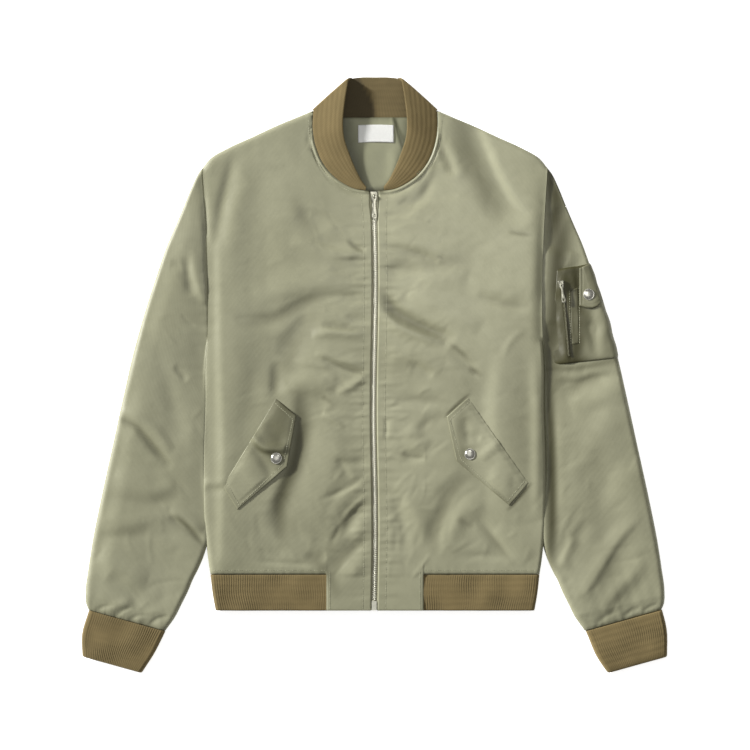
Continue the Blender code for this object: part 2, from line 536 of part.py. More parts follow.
def collar_columns():
    """Centre line of the collar from the wearer's left tip round the back to the right: points at the seam and
    at the top, and the way that its outside faces, one row for each half rib."""
    lower, upper = COLLAR_WALL / 2, COLLAR_TOP - COLLAR_WALL / 2

    def run(stations):
        stations = np.array(stations, float)
        middle = (stations[:, :2] + stations[:, 2:4]) / 2
        steps = np.concatenate([[0], np.cumsum(np.linalg.norm(np.diff(middle, axis=0), axis=1))])
        count = max(2, 2 * round(steps[-1] / COLLAR_RIB_PITCH))
        at = np.linspace(0, steps[-1], count + 1)
        return np.stack([np.interp(at, steps, column) for column in stations.T], axis=1)

    front, back = run(COLLAR_FRONT)[::-1], run(COLLAR_BACK)[::-1]
    rows = [(x0, y0, upper, x1, y1, upper + rise, 0.0, 0.0, 1.0, k % 2)
            for k, (x0, y0, x1, y1, rise) in enumerate(front[:-1])]
    over, under = COLLAR_FRONT[0], COLLAR_BACK[-1]
    fold = np.array([(over.seam_x + under.seam_x) / 2, (over.seam_y + under.seam_y) / 2]), \
        np.array([(over.top_x + under.top_x) / 2, (over.top_y + under.top_y) / 2])
    line = fold[1] - fold[0]
    out = np.array([line[1], -line[0]]) / np.linalg.norm(line)
    ends = ((np.array(over[:2]), np.array(under[:2]), upper, lower),
            (np.array(over[2:4]), np.array(under[2:4]), upper + over.rise, lower + under.rise))
    for step in range(TURN_STEPS + 1):
        angle = np.pi / 2 - np.pi * step / TURN_STEPS
        row = []
        for high_point, low_point, high, low in ends:
            turn, share = (high - low) / 2, (1 + np.sin(angle)) / 2
            row += [*(share * high_point + (1 - share) * low_point + out * turn * np.cos(angle)),
                    (high + low) / 2 + turn * np.sin(angle)]
        rows.append((*row, *(out * np.cos(angle)), np.sin(angle), 0))
    rows += [(x0, y0, lower, x1, y1, lower + rise, 0.0, 0.0, -1.0, k % 2)
             for k, (x0, y0, x1, y1, rise) in enumerate(back[1:], 1)]
    half = np.array(rows, float)
    other = half[-2::-1].copy()
    other[:, (0, 3, 6)] *= -1
    return np.concatenate([half, other])


def collar():
    """The rib band at the neck: its back lies face down, its front bands roll over from the sides."""
    columns = collar_columns()
    outside, inside = [], []
    for part in COLLAR_ROWS:
        centre = columns[:, :3] * (1 - part) + columns[:, 3:6] * part
        normal = columns[:, 6:9]
        thin = COLLAR_WALL / 2 - (0.5 if part == 1.0 else 0.0) * (normal[:, 2] > 0)
        relief = RIB_RELIEF * columns[:, 9]
        up = normal[:, 2] > 0.9
        outside.append(centre + normal * (thin + relief * up)[:, None])
        inside.append(centre - normal * (COLLAR_WALL / 2 + relief * (normal[:, 2] < -0.9))[:, None])
    return wall("collar", np.array(outside), np.array(inside), "rib knit")


def neck_lining():
    xs = np.linspace(-LINING_X, LINING_X, 9)
    ys = np.linspace(*LINING_Y, 7)
    low = WALL + SEAM_GAP
    plan = np.stack(np.meshgrid(xs, ys), axis=-1)
    swell = 0.5 * np.exp(-(((plan[..., 0] + 22) / 18) ** 2)) * np.clip((330 - plan[..., 1]) / 60, 0, 1)
    under = np.concatenate([plan, np.full((*plan.shape[:2], 1), low)], axis=-1)
    over = np.concatenate([plan, (low + LINING_WALL + swell)[..., None]], axis=-1)
    return wall("neck_lining", over, under, "lining nylon")


def label():
    x, y, width, height = LABEL
    low = WALL + 2 * SEAM_GAP + LINING_WALL + 0.1
    outline = [(x + a * width / 2, y + b * height / 2) for a, b in ((-1, -1), (1, -1), (1, 1), (-1, 1))]
    return prism("label", outline, low, low + LABEL_WALL, "label satin")


# ---------------------------------------------------------------- zip
def strip_along(name, plan, low, high, finish):
    """A flat strip from a grid of plan points, with its levels."""
    under = np.concatenate([plan, np.full((*plan.shape[:2], 1), low)], axis=-1)
    over = np.concatenate([plan, np.full((*plan.shape[:2], 1), high)], axis=-1)
    return wall(name, over, under, finish, smooth=False)


def zip_tape(name, side):
    ys = np.linspace(HEM_Y + 1, ZIP_TOP_Y - 1, round((ZIP_TOP_Y - HEM_Y) / ZIP_Y_STEP))
    plan = np.array([[(zip_x(y) + side * 0.3, y), (zip_x(y) + side * TAPE_X, y)] for y in ys])
    return strip_along(name, plan, *TAPE_LEVEL, "zip tape")


def zip_chain(low_y, high_y):
    ys = np.linspace(low_y, high_y, round((high_y - low_y) / (ZIP_Y_STEP / 2)))
    plan = np.array([[(zip_x(y) - CHAIN_HALF, y), (zip_x(y) + CHAIN_HALF, y)] for y in ys])
    return strip_along("zip_chain", plan, *CHAIN_LEVEL, "nickel")


# Slider and pull tab, in millimetres about the bail's axis: x across the zip, y along it, z up.
SLIDER_OUTLINE = ((-3.4, -6.0), (3.4, -6.0), (4.9, 1.0), (4.9, 5.2), (2.8, 7.0), (-2.8, 7.0), (-4.9, 5.2),
                  (-4.9, 1.0))
SLIDER_HEIGHT = 3.6
AXIS_OVER_SLIDER = 1.3
BAIL_HALF_WIDTH = 1.0
BAIL_OUTER, BAIL_INNER = 2.5, 1.3
PULL_THICK = 1.1
PULL_X = (-1.0, -0.45, 0.45, 1.0)  # columns, as parts of the half width
# Rows of the pull tab: distance from the axis, half width, and which of its middle cells is open.
PullRow = namedtuple("PullRow", "far half open")
PULL_ROWS = tuple(PullRow(*row) for row in ((-0.6, 2.9, 0), (0.6, 2.9, 1), (3.4, 2.9, 0), (5.2, 2.2, 0),
                                            (9.0, 1.7, 0), (18.0, 2.7, 0), (23.0, 3.5, 1), (28.0, 3.7, 0),
                                            (30.4, 2.6, 0)))
PULL_TILT = 0.035  # radians that the resting tab slopes down


def placed(points, at, turn, scale):
    c, s = np.cos(turn), np.sin(turn)
    points = np.asarray(points, float) * scale
    return np.stack([points[..., 0] * c - points[..., 1] * s + at[0],
                     points[..., 0] * s + points[..., 1] * c + at[1], points[..., 2] + at[2]], axis=-1)


def slider(name, at, turn, scale):
    """A slider with its bail, about the point on the axis of its pull."""
    low = -AXIS_OVER_SLIDER - SLIDER_HEIGHT
    n = len(SLIDER_OUTLINE)
    points = np.array([(x, y, z) for z in (low, -AXIS_OVER_SLIDER) for x, y in SLIDER_OUTLINE])
    faces = [tuple(range(n))[::-1], tuple(range(n, 2 * n))]
    faces += [(i, (i + 1) % n, n + (i + 1) % n, n + i) for i in range(n)]
    body = solid(name, placed(points, at, turn, scale), faces, "nickel", smooth=False)

    arch = [(np.cos(a), np.sin(a)) for a in np.linspace(0, np.pi, 9)]
    outer = [(BAIL_OUTER * c, BAIL_OUTER * s) for c, s in arch]
    inner = [(BAIL_INNER * c, BAIL_INNER * s) for c, s in arch]
    deep = -AXIS_OVER_SLIDER - 0.8  # its feet go into the slider
    outer = [(BAIL_OUTER, deep), *outer, (-BAIL_OUTER, deep)]
    inner = [(BAIL_INNER, deep), *inner, (-BAIL_INNER, deep)]
    grids = [np.array([[(x, y, z) for y, z in line] for x in (-BAIL_HALF_WIDTH, BAIL_HALF_WIDTH)])
             for line in (outer, inner)]
    bail = wall(name + "_bail", placed(grids[0], at, turn, scale), placed(grids[1], at, turn, scale), "nickel")
    bail.hide_render = True
    bail.display_type = "WIRE"
    join = body.modifiers.new("bail", "BOOLEAN")
    join.operation = "UNION"
    join.object = bail
    return body


def pull_tab(name, at, turn, scale):
    """The pull tab: its eye passes under the bail, and its far end has a slot."""
    over, under = [], []
    c, s = np.cos(PULL_TILT), np.sin(PULL_TILT)
    for row in PULL_ROWS:
        for rows, half in ((over, PULL_THICK / 2), (under, -PULL_THICK / 2)):
            rows.append([(row.half * x, -row.far * c - half * s, -row.far * s + half * c) for x in PULL_X])
    return wall(name, placed(np.array(over), at, turn, scale), placed(np.array(under), at, turn, scale), "nickel",
                keep=lambda i, j: not (PULL_ROWS[i].open and j == 1), smooth=False)


# ---------------------------------------------------------------- what lies on the cloth
def tree_of(thing):
    mesh = thing.data
    return BVHTree.FromPolygons([v.co / MM for v in mesh.vertices], [tuple(p.vertices) for p in mesh.polygons])


def level_on(tree, x, y):
    """Level of the cloth's upper face at a plan point."""
    hit = tree.ray_cast((x, y, 100.0), (0, 0, -1))[0]
    return hit.z


def pocket_flap(name, side_name, tree):
    """A five-sided flap sewn along its long edge, on the front panel."""
    flap = FLAPS[side_name]
    rows, columns = FLAP_GRID
    tip = FLAP_TIP
    sewn = np.array([np.array(flap.sewn_top) + t * (np.array(flap.sewn_low) - flap.sewn_top)
                     for t in np.linspace(0, 1, rows)])
    free = np.array([np.array(flap.free_top) + t / tip * (np.array(flap.tip) - flap.free_top) if t < tip else
                     np.array(flap.tip) + (t - tip) / (1 - tip) * (np.array(flap.free_low) - flap.tip)
                     for t in np.linspace(0, 1, rows)])
    over, under = [], []
    for i in range(rows):
        line_over, line_under = [], []
        for j, t in enumerate(np.linspace(0, 1, columns)):
            x, y = sewn[i] + t * (free[i] - sewn[i])
            level = level_on(tree, x, y) + PILE_GAP
            rim = i in (0, rows - 1) or j in (0, columns - 1)
            lift = flap.puff * np.sin(np.pi * t) * np.sin(np.pi * i / (rows - 1))
            line_under.append((x, y, level))
            line_over.append((x, y, level + (FLAP_WALL * 0.55 if rim else FLAP_WALL) + lift))
        over.append(line_over)
        under.append(line_under)
    return wall(name, np.array(over), np.array(under), "shell nylon")


def snap(name, plan, tree):
    """A domed press stud on the cloth."""
    ring = [(np.cos(a), np.sin(a)) for a in np.linspace(0, 2 * np.pi, SNAP_SIDES, endpoint=False)]
    base = PILE_GAP - 0.2 + max(level_on(tree, plan[0] + r * SNAP_RADIUS * c, plan[1] + r * SNAP_RADIUS * s)
                                for c, s in ring for r in (0.5, 1.0))
    profile = ((1.0, 0.0), (1.0, 0.35), (0.93, 0.6), (0.8, 0.62), (0.5, 0.92))
    points = [(plan[0] + r * SNAP_RADIUS * c, plan[1] + r * SNAP_RADIUS * s, base + h * SNAP_HEIGHT)
              for r, h in profile for c, s in ring]
    n = SNAP_SIDES
    faces = [tuple(range(n))[::-1]]
    faces += [(k * n + i, k * n + (i + 1) % n, (k + 1) * n + (i + 1) % n, (k + 1) * n + i)
              for k in range(len(profile) - 1) for i in range(n)]
    points.append((plan[0], plan[1], base + SNAP_HEIGHT))
    last = (len(profile) - 1) * n
    faces += [(last + i, last + (i + 1) % n, len(points) - 1) for i in range(n)]
    return solid(name, points, faces, "nickel")


def sleeve_edge(y):
    """The left sleeve's folded outer edge at a height, and the way out of it."""
    edge = np.array([x_at(SLEEVE_OUTER, y), y])
    slope = np.array([x_at(SLEEVE_OUTER, y - 10) - x_at(SLEEVE_OUTER, y + 10), -20.0])
    return edge, np.array([-slope[1], slope[0]]) / np.linalg.norm(slope)


def over_sleeve(tree, start, edge_y, parts, lift):
    """A row of points over the left sleeve: parts 0 to 1 run from start to where the cloth turns down at
    its outer edge, and parts 1 to 2 go down round that edge to its middle."""
    edge, out = sleeve_edge(edge_y)
    turn = edge - out * FRONT_ROUND
    row = []
    for part in parts:
        if part <= 1:
            plan = np.array(start) + part * (turn - start)
            row.append((*plan, level_on(tree, *plan) + lift))
            continue
        angle = np.pi / 2 * (2 - part)
        way = np.array([*(out * np.cos(angle)), np.sin(angle)])
        middle = np.array([*turn, TOP / 2])
        hit = tree.ray_cast(tuple(middle + way * 60), tuple(-way))[0]
        row.append(tuple(np.array(hit) + way * lift))
    return row


TURNED = (4 / 3, 5 / 3, 1.93)  # parts of a row that go down round the sleeve's edge


def sleeve_pocket(tree):
    """The flat pocket on the left sleeve, with seams that rise a little towards the sleeve's edge."""
    parts = [*np.linspace(0, 1, POCKET_GRID[0] + 1), *TURNED]
    grids = []
    for lift in (POCKET_LIFT + POCKET_WALL, POCKET_LIFT):
        rows = []
        for t in np.linspace(0, 1, POCKET_GRID[1] + 1):
            y, x, rise = (a + t * (b - a) for a, b in (POCKET_Y, POCKET_FRONT_X, POCKET_RISE))
            rows.append(over_sleeve(tree, (x, y), y + rise, parts, lift))
        grids.append(np.array(rows))
    return wall("sleeve_pocket", *grids, "shell nylon")


def sleeve_pocket_flap(tree):
    """The small flap over the pen pocket, running to the sleeve's outer edge, with a shallow V below."""
    low = POCKET_LIFT + POCKET_WALL + PILE_GAP
    parts = (0.0, 0.35, 0.7, 1.0, *TURNED[:2])
    grids = []
    for lift in (low + FLAP_WALL * 0.7, low):
        rows = []
        for t in np.linspace(0, 1, 5):
            y = POCKET_FLAP_Y[0] + t * (POCKET_FLAP_Y[1] - POCKET_FLAP_Y[0])
            row = np.array(over_sleeve(tree, (POCKET_FLAP_X, y), y + POCKET_RISE[0] * 0.7, parts, lift))
            row[:, 1] -= t * POCKET_FLAP_TIP * np.array((0, 0.7, 1, 0.8, 0.4, 0.1))
            rows.append(row)
        grids.append(np.array(rows))
    return wall("sleeve_pocket_flap", *grids, "shell nylon")


def on_line(line, half, spacing, level, height, name, finish):
    """A narrow strip that follows a plan line on the cloth."""
    length = np.linalg.norm(np.diff(np.array(line), axis=0), axis=1).sum()
    points = along(line, np.linspace(0, 1, max(2, round(length / spacing)) + 1))
    way = np.gradient(points, axis=0)
    out = np.stack([way[:, 1], -way[:, 0]], axis=1) / np.linalg.norm(way, axis=1)[:, None]
    plan = np.stack([points - out * half, points + out * half], axis=1)
    levels = np.array([[level(*p) for p in pair] for pair in plan])
    levels[:] = levels.max(axis=1, keepdims=True)
    under = np.concatenate([plan, (levels + PILE_GAP)[..., None]], axis=-1)
    over = np.concatenate([plan, (levels + PILE_GAP + height)[..., None]], axis=-1)
    return wall(name, over, under, finish, smooth=False)


def pen_slot(tree):
    corners = np.array(PEN_SLOT)
    down = np.linspace(0, 1, 7)[:, None]
    left, right = corners[0] + down * (corners[3] - corners[0]), corners[1] + down * (corners[2] - corners[1])
    plan = np.stack([left + t * (right - left) for t in (0, 0.5, 1)], axis=1)
    levels = np.array([[level_on(tree, *p) for p in row] for row in plan])
    under = np.concatenate([plan, (levels + PILE_GAP)[..., None]], axis=-1)
    over = np.concatenate([plan, (levels + PILE_GAP + PEN_WALL)[..., None]], axis=-1)
    return wall("pen_slot", over, under, "shell nylon")


# ---------------------------------------------------------------- the jacket
def build():
    for old in list(bpy.data.objects):
        bpy.data.objects.remove(old)
    back_panel()
    fronts = {name: front_panel("front_" + name, side) for name, side in SIDES}
    sleeves = {name: sleeve("sleeve_" + name, side) for name, side in SIDES}
    for name, side in SIDES:
        cuff("cuff_" + name, side)
        zip_tape("zip_tape_" + name, side)
        flap = pocket_flap("flap_" + name, name, tree_of(fronts[name]))
        snap("snap_" + name, FLAPS[name].snap, tree_of(flap))
    hem_rib()
    collar()
    neck_lining()
    label()

    slider_low = SLIDER_Y - 6.0
    zip_chain(BOX_Y[1] + SEAM_GAP, slider_low - SEAM_GAP)
    box_x = float(zip_x(BOX_Y[0]))
    prism("zip_box", [(box_x - 3.2, BOX_Y[0]), (box_x + 3.2, BOX_Y[0]), (box_x + 3.2, BOX_Y[1]),
                      (box_x - 3.2, BOX_Y[1])], CHAIN_LEVEL[0], CHAIN_LEVEL[1] + 0.8, "nickel")
    axis = (float(zip_x(SLIDER_Y)), SLIDER_Y, CHAIN_LEVEL[0] + SLIDER_HEIGHT + AXIS_OVER_SLIDER)
    slider("zip_slider", axis, 0.0, 1.0)
    pull_tab("zip_pull", axis, 0.0, 1.0)

    pocket = sleeve_pocket(tree_of(sleeves["left"]))
    on_pocket = tree_of(pocket)
    pen_slot(on_pocket)
    flap = sleeve_pocket_flap(tree_of(sleeves["left"]))
    snap("snap_sleeve", POCKET_SNAP, tree_of(flap))
    start = along(POCKET_ZIP, [0.12, 1.0])
    line = [tuple(start[0]), *POCKET_ZIP[1:]]
    on_line(line, POCKET_CHAIN_HALF, 9.0, lambda x, y: level_on(on_pocket, x, y), POCKET_CHAIN_HEIGHT,
            "sleeve_zip_chain", "nickel")
    base = max(level_on(on_pocket, POCKET_SLIDER[0] + dx, POCKET_SLIDER[1] + dy)
               for dx in (-3, 0, 3) for dy in (-5, 0, 5)) + PILE_GAP
    axis = (*POCKET_SLIDER, base + POCKET_SLIDER_SCALE * (SLIDER_HEIGHT + AXIS_OVER_SLIDER))
    slider("sleeve_zip_slider", axis, POCKET_SLIDER_TURN, POCKET_SLIDER_SCALE)
    pull_tab("sleeve_zip_pull", axis, POCKET_SLIDER_TURN, POCKET_SLIDER_SCALE)


build()
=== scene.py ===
"""Bomber jacket laid flat on its back: satin nylon shells, rib knit, metal zips and press studs.

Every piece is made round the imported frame, in its place. Tables and sizes are in millimetres, meshes in
metres. +Y points to the collar, +X to the wearer's left, +Z up. SIDES runs over the wearer's right (-1) and
left (+1).
"""

from collections import namedtuple

import bpy
import numpy as np
from mathutils.bvhtree import BVHTree
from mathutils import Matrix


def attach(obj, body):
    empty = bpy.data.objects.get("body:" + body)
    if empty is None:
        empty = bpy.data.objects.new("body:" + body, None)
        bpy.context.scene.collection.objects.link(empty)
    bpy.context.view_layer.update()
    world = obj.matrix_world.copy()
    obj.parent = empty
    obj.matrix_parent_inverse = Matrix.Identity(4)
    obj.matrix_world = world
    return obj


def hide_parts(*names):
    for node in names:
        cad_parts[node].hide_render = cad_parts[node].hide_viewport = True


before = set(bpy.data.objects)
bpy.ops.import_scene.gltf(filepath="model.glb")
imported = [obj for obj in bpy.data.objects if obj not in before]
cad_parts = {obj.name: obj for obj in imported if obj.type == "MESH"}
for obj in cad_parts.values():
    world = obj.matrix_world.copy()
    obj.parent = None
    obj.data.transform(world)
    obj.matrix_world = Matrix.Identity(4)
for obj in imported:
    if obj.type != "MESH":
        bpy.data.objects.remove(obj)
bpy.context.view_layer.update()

MM = 0.001
SIDES = (("right", -1), ("left", 1))

# ---------------- levels and outlines, as the solids have them
CLOTH = 1.2  # a shell of nylon with its lining, pressed flat
LINING_WALL = 0.6
LABEL_WALL = 0.35
TAPE_WALL = 0.6
FLAP_WALL = 1.1
POCKET_WALL = 1.0
SMALL_FLAP_WALL = 0.9
PLEAT_WALL = 0.5
RIB_WALL = 2.6
SEAM_GAP = 0.3
PILE_GAP = 0.5
WALL = 3.0
TOP = 9.6
SIDE_SEAM = 4.6
FRONT_ROUND = 7.5
BACK_ROUND = 6.0
RIB_PITCH = 3.0
RIB_RELIEF = 0.36
HEM_TOPS = (8.5, 8.9, 8.1)
HEM_SEAM_Y = -263.3
HEM_Y = -311.2
TAB_X = 64.0
ZIP_TOP_Y = 243.5
UNDERARM_Y = 45.0
ARM_TOP_Y = 273.9
NECK_FRONT = ((3.9, 243.5), (12.0, 243.5), (26.0, 245.6), (40.3, 252.0), (57.4, 264.9), (70.4, 282.1),
              (79.0, 304.0), (82.5, 326.4), (82.4, 349.4))
NECK_BACK = ((0.0, 339.4), (40.0, 339.6), (66.0, 341.6), (82.4, 349.4))
SHOULDER = ((82.4, 349.4), (105.0, 340.0), (127.6, 330.7), (162.0, 314.8), (196.3, 299.0), (218.0, 286.0),
            (227.9, 273.9))
ARMHOLE = ((227.9, 273.9), (222.6, 185.0), (221.5, 45.0))
SIDE = ((221.5, 45.0), (223.8, 10.0), (223.8, -36.0), (226.0, -122.0), (222.6, -226.0), (219.0, -255.0),
        (217.6, HEM_SEAM_Y))
HEM_SIDE = ((217.3, -263.9), (214.8, -287.5), (210.6, HEM_Y))
NECK_HEM_X = (3.9, 12, 22, 34, 48, TAB_X, 80, 97, 115)  # where the columns to the neck start at the hem
# Rows of the front: height at the zip, height at the side.
FRONT_RUN = ((-263.3, -263.3), (-149, -146), (-89, -82), (2, 14), (80, 92), (128, 154), (178, 214),
             (226, 262), (243.5, 273.9))
SLEEVE_OUTER = ((228.3, 273.9), (233.6, 267.3), (241.6, 251.5), (254.8, 219.8), (261.4, 203.9),
                (274.6, 172.3), (291.1, 124.7), (306.2, 77.2), (319.4, 29.7), (334.0, -33.7),
                (347.8, -97.0), (361.7, -160.4), (374.2, -223.7), (379.0, -255.4), (382.8, -285.0),
                (382.0, -302.9), (379.1, -310.1))
SLEEVE_INNER = ((221.2, 45.0), (223.5, 10.0), (223.5, -36.0), (225.7, -122.0), (222.4, -226.0),
                (226.6, -239.6), (233.2, -255.4), (241.2, -271.3), (247.8, -287.1), (255.7, -302.9),
                (263.6, -318.8), (277.5, -338.3))
Section = namedtuple("Section", "inner_y outer_y top gather")
SECTIONS = tuple(Section(*row) for row in (
    (45, 273.9, 8.6, 0), (42, 256, 9.4, 0), (38, 234, 9.6, 0), (32, 207, 9.6, 0), (24, 176, 9.6, 0),
    (14, 142, 9.6, 0), (-2, 104, 9.6, 0), (-24, 62, 9.6, 0), (-54, 18, 9.6, 0), (-88, -28, 9.6, 0),
    (-124, -76, 9.6, 0), (-162, -122, 9.6, 0), (-198, -164, 9.6, 0), (-232, -202, 9.7, 0),
    (-264, -236, 9.8, 0.2), (-294, -266, 10.3, 0.8), (-318, -290, 10.5, 1.0), (-338.3, -310.1, 8.4, 0.6)))
CuffRing = namedtuple("CuffRing", "down width lean top")
CUFF_RINGS = tuple(CuffRing(*row) for row in ((0.6, 104.4, 0.0, 8.2), (31, 99.0, 1.8, 9.4),
              (62, 81.0, 3.2, 7.6)))
# Seam x and y, free edge x and y, and how far the free edge stands above the seam.
COLLAR_BACK = ((0, 340.2, 0, 393.9, 2.6), (40.0, 340.5, 18, 393.8, 2.6), (60.0, 343.0, 25.5, 393.0, 2.8),
               (80.2, 349.2, 29.6, 392.2, 3.4))
COLLAR_FRONT = ((81.4, 348.8, 35.0, 389.4, 8.4), (82.2, 326.4, 39.5, 361.0, 9.6),
                (78.8, 304.3, 42.2, 333.0, 9.2), (70.2, 282.5, 40.6, 312.5, 6.8),
                (57.2, 265.2, 34.0, 292.0, 4.4), (40.2, 252.3, 25.4, 271.5, 2.4),
                (25.9, 245.9, 17.6, 256.5, 1.2), (12.3, 243.9, 11.4, 248.6, 0.5))
COLLAR_WALL = 2.8
COLLAR_TOP = 9.4
ZIP_GAP = 3.9
ZIP_SPREAD = 1.7
TAPE_X = 17.0
TAPE_TOP = 7.1
CHAIN_LEVEL = (6.0, 8.8)
BOX_TOP_Y = -298.4
SLIDER_Y = 236.0
Flap = namedtuple("Flap", "sewn_top sewn_low free_top tip free_low snap puff")
FLAPS = {
    "right": Flap((-130.3, -31.0), (-200.6, -146.5), (-103.9, -53.5), (-115.8, -120.8), (-181.4, -177.5),
                  (-130.3, -109.7), 1.4),
    "left": Flap((122.6, -29.7), (202.4, -143.2), (94.6, -54.8), (107.3, -112.9), (177.3, -172.3),
                 (125.0, -104.3), 1.8),
}
FLAP_TIP = 0.46
SNAP_RADIUS = 7.4
POCKET_Y = (139.5, 12.4)
POCKET_FRONT_X = (240.5, 231.5)
POCKET_RISE = (8.4, 11.0)
POCKET_FLAP_Y = (140.6, 91.0)
POCKET_FLAP_X = 269.4
POCKET_SNAP = (281.6, 106.3)
PEN_SLOT = ((257.8, 111.6), (268.0, 115.6), (268.4, 41.6), (259.8, 40.0))
POCKET_ZIP = ((245.0, 125.0), (249.6, 98.0), (252.6, 62.0), (255.6, 24.0))
LINING_Y = (226.0, 340.9)
LINING_X = 70.0
LABEL = (1.2, 319.2, 47.0, 23.0)  # centre x and y, width, height
LABEL_LEVEL = 5.2

# ---------------- creases: ridges (+) and troughs (-) of the cloth
Crease = namedtuple("Crease", "height width lean path")


def creases(*rows):
    """Rows of height, width, lean (+1 spreads to the left of the path, -1 to its right) and path."""
    return tuple(Crease(*row) for row in rows)


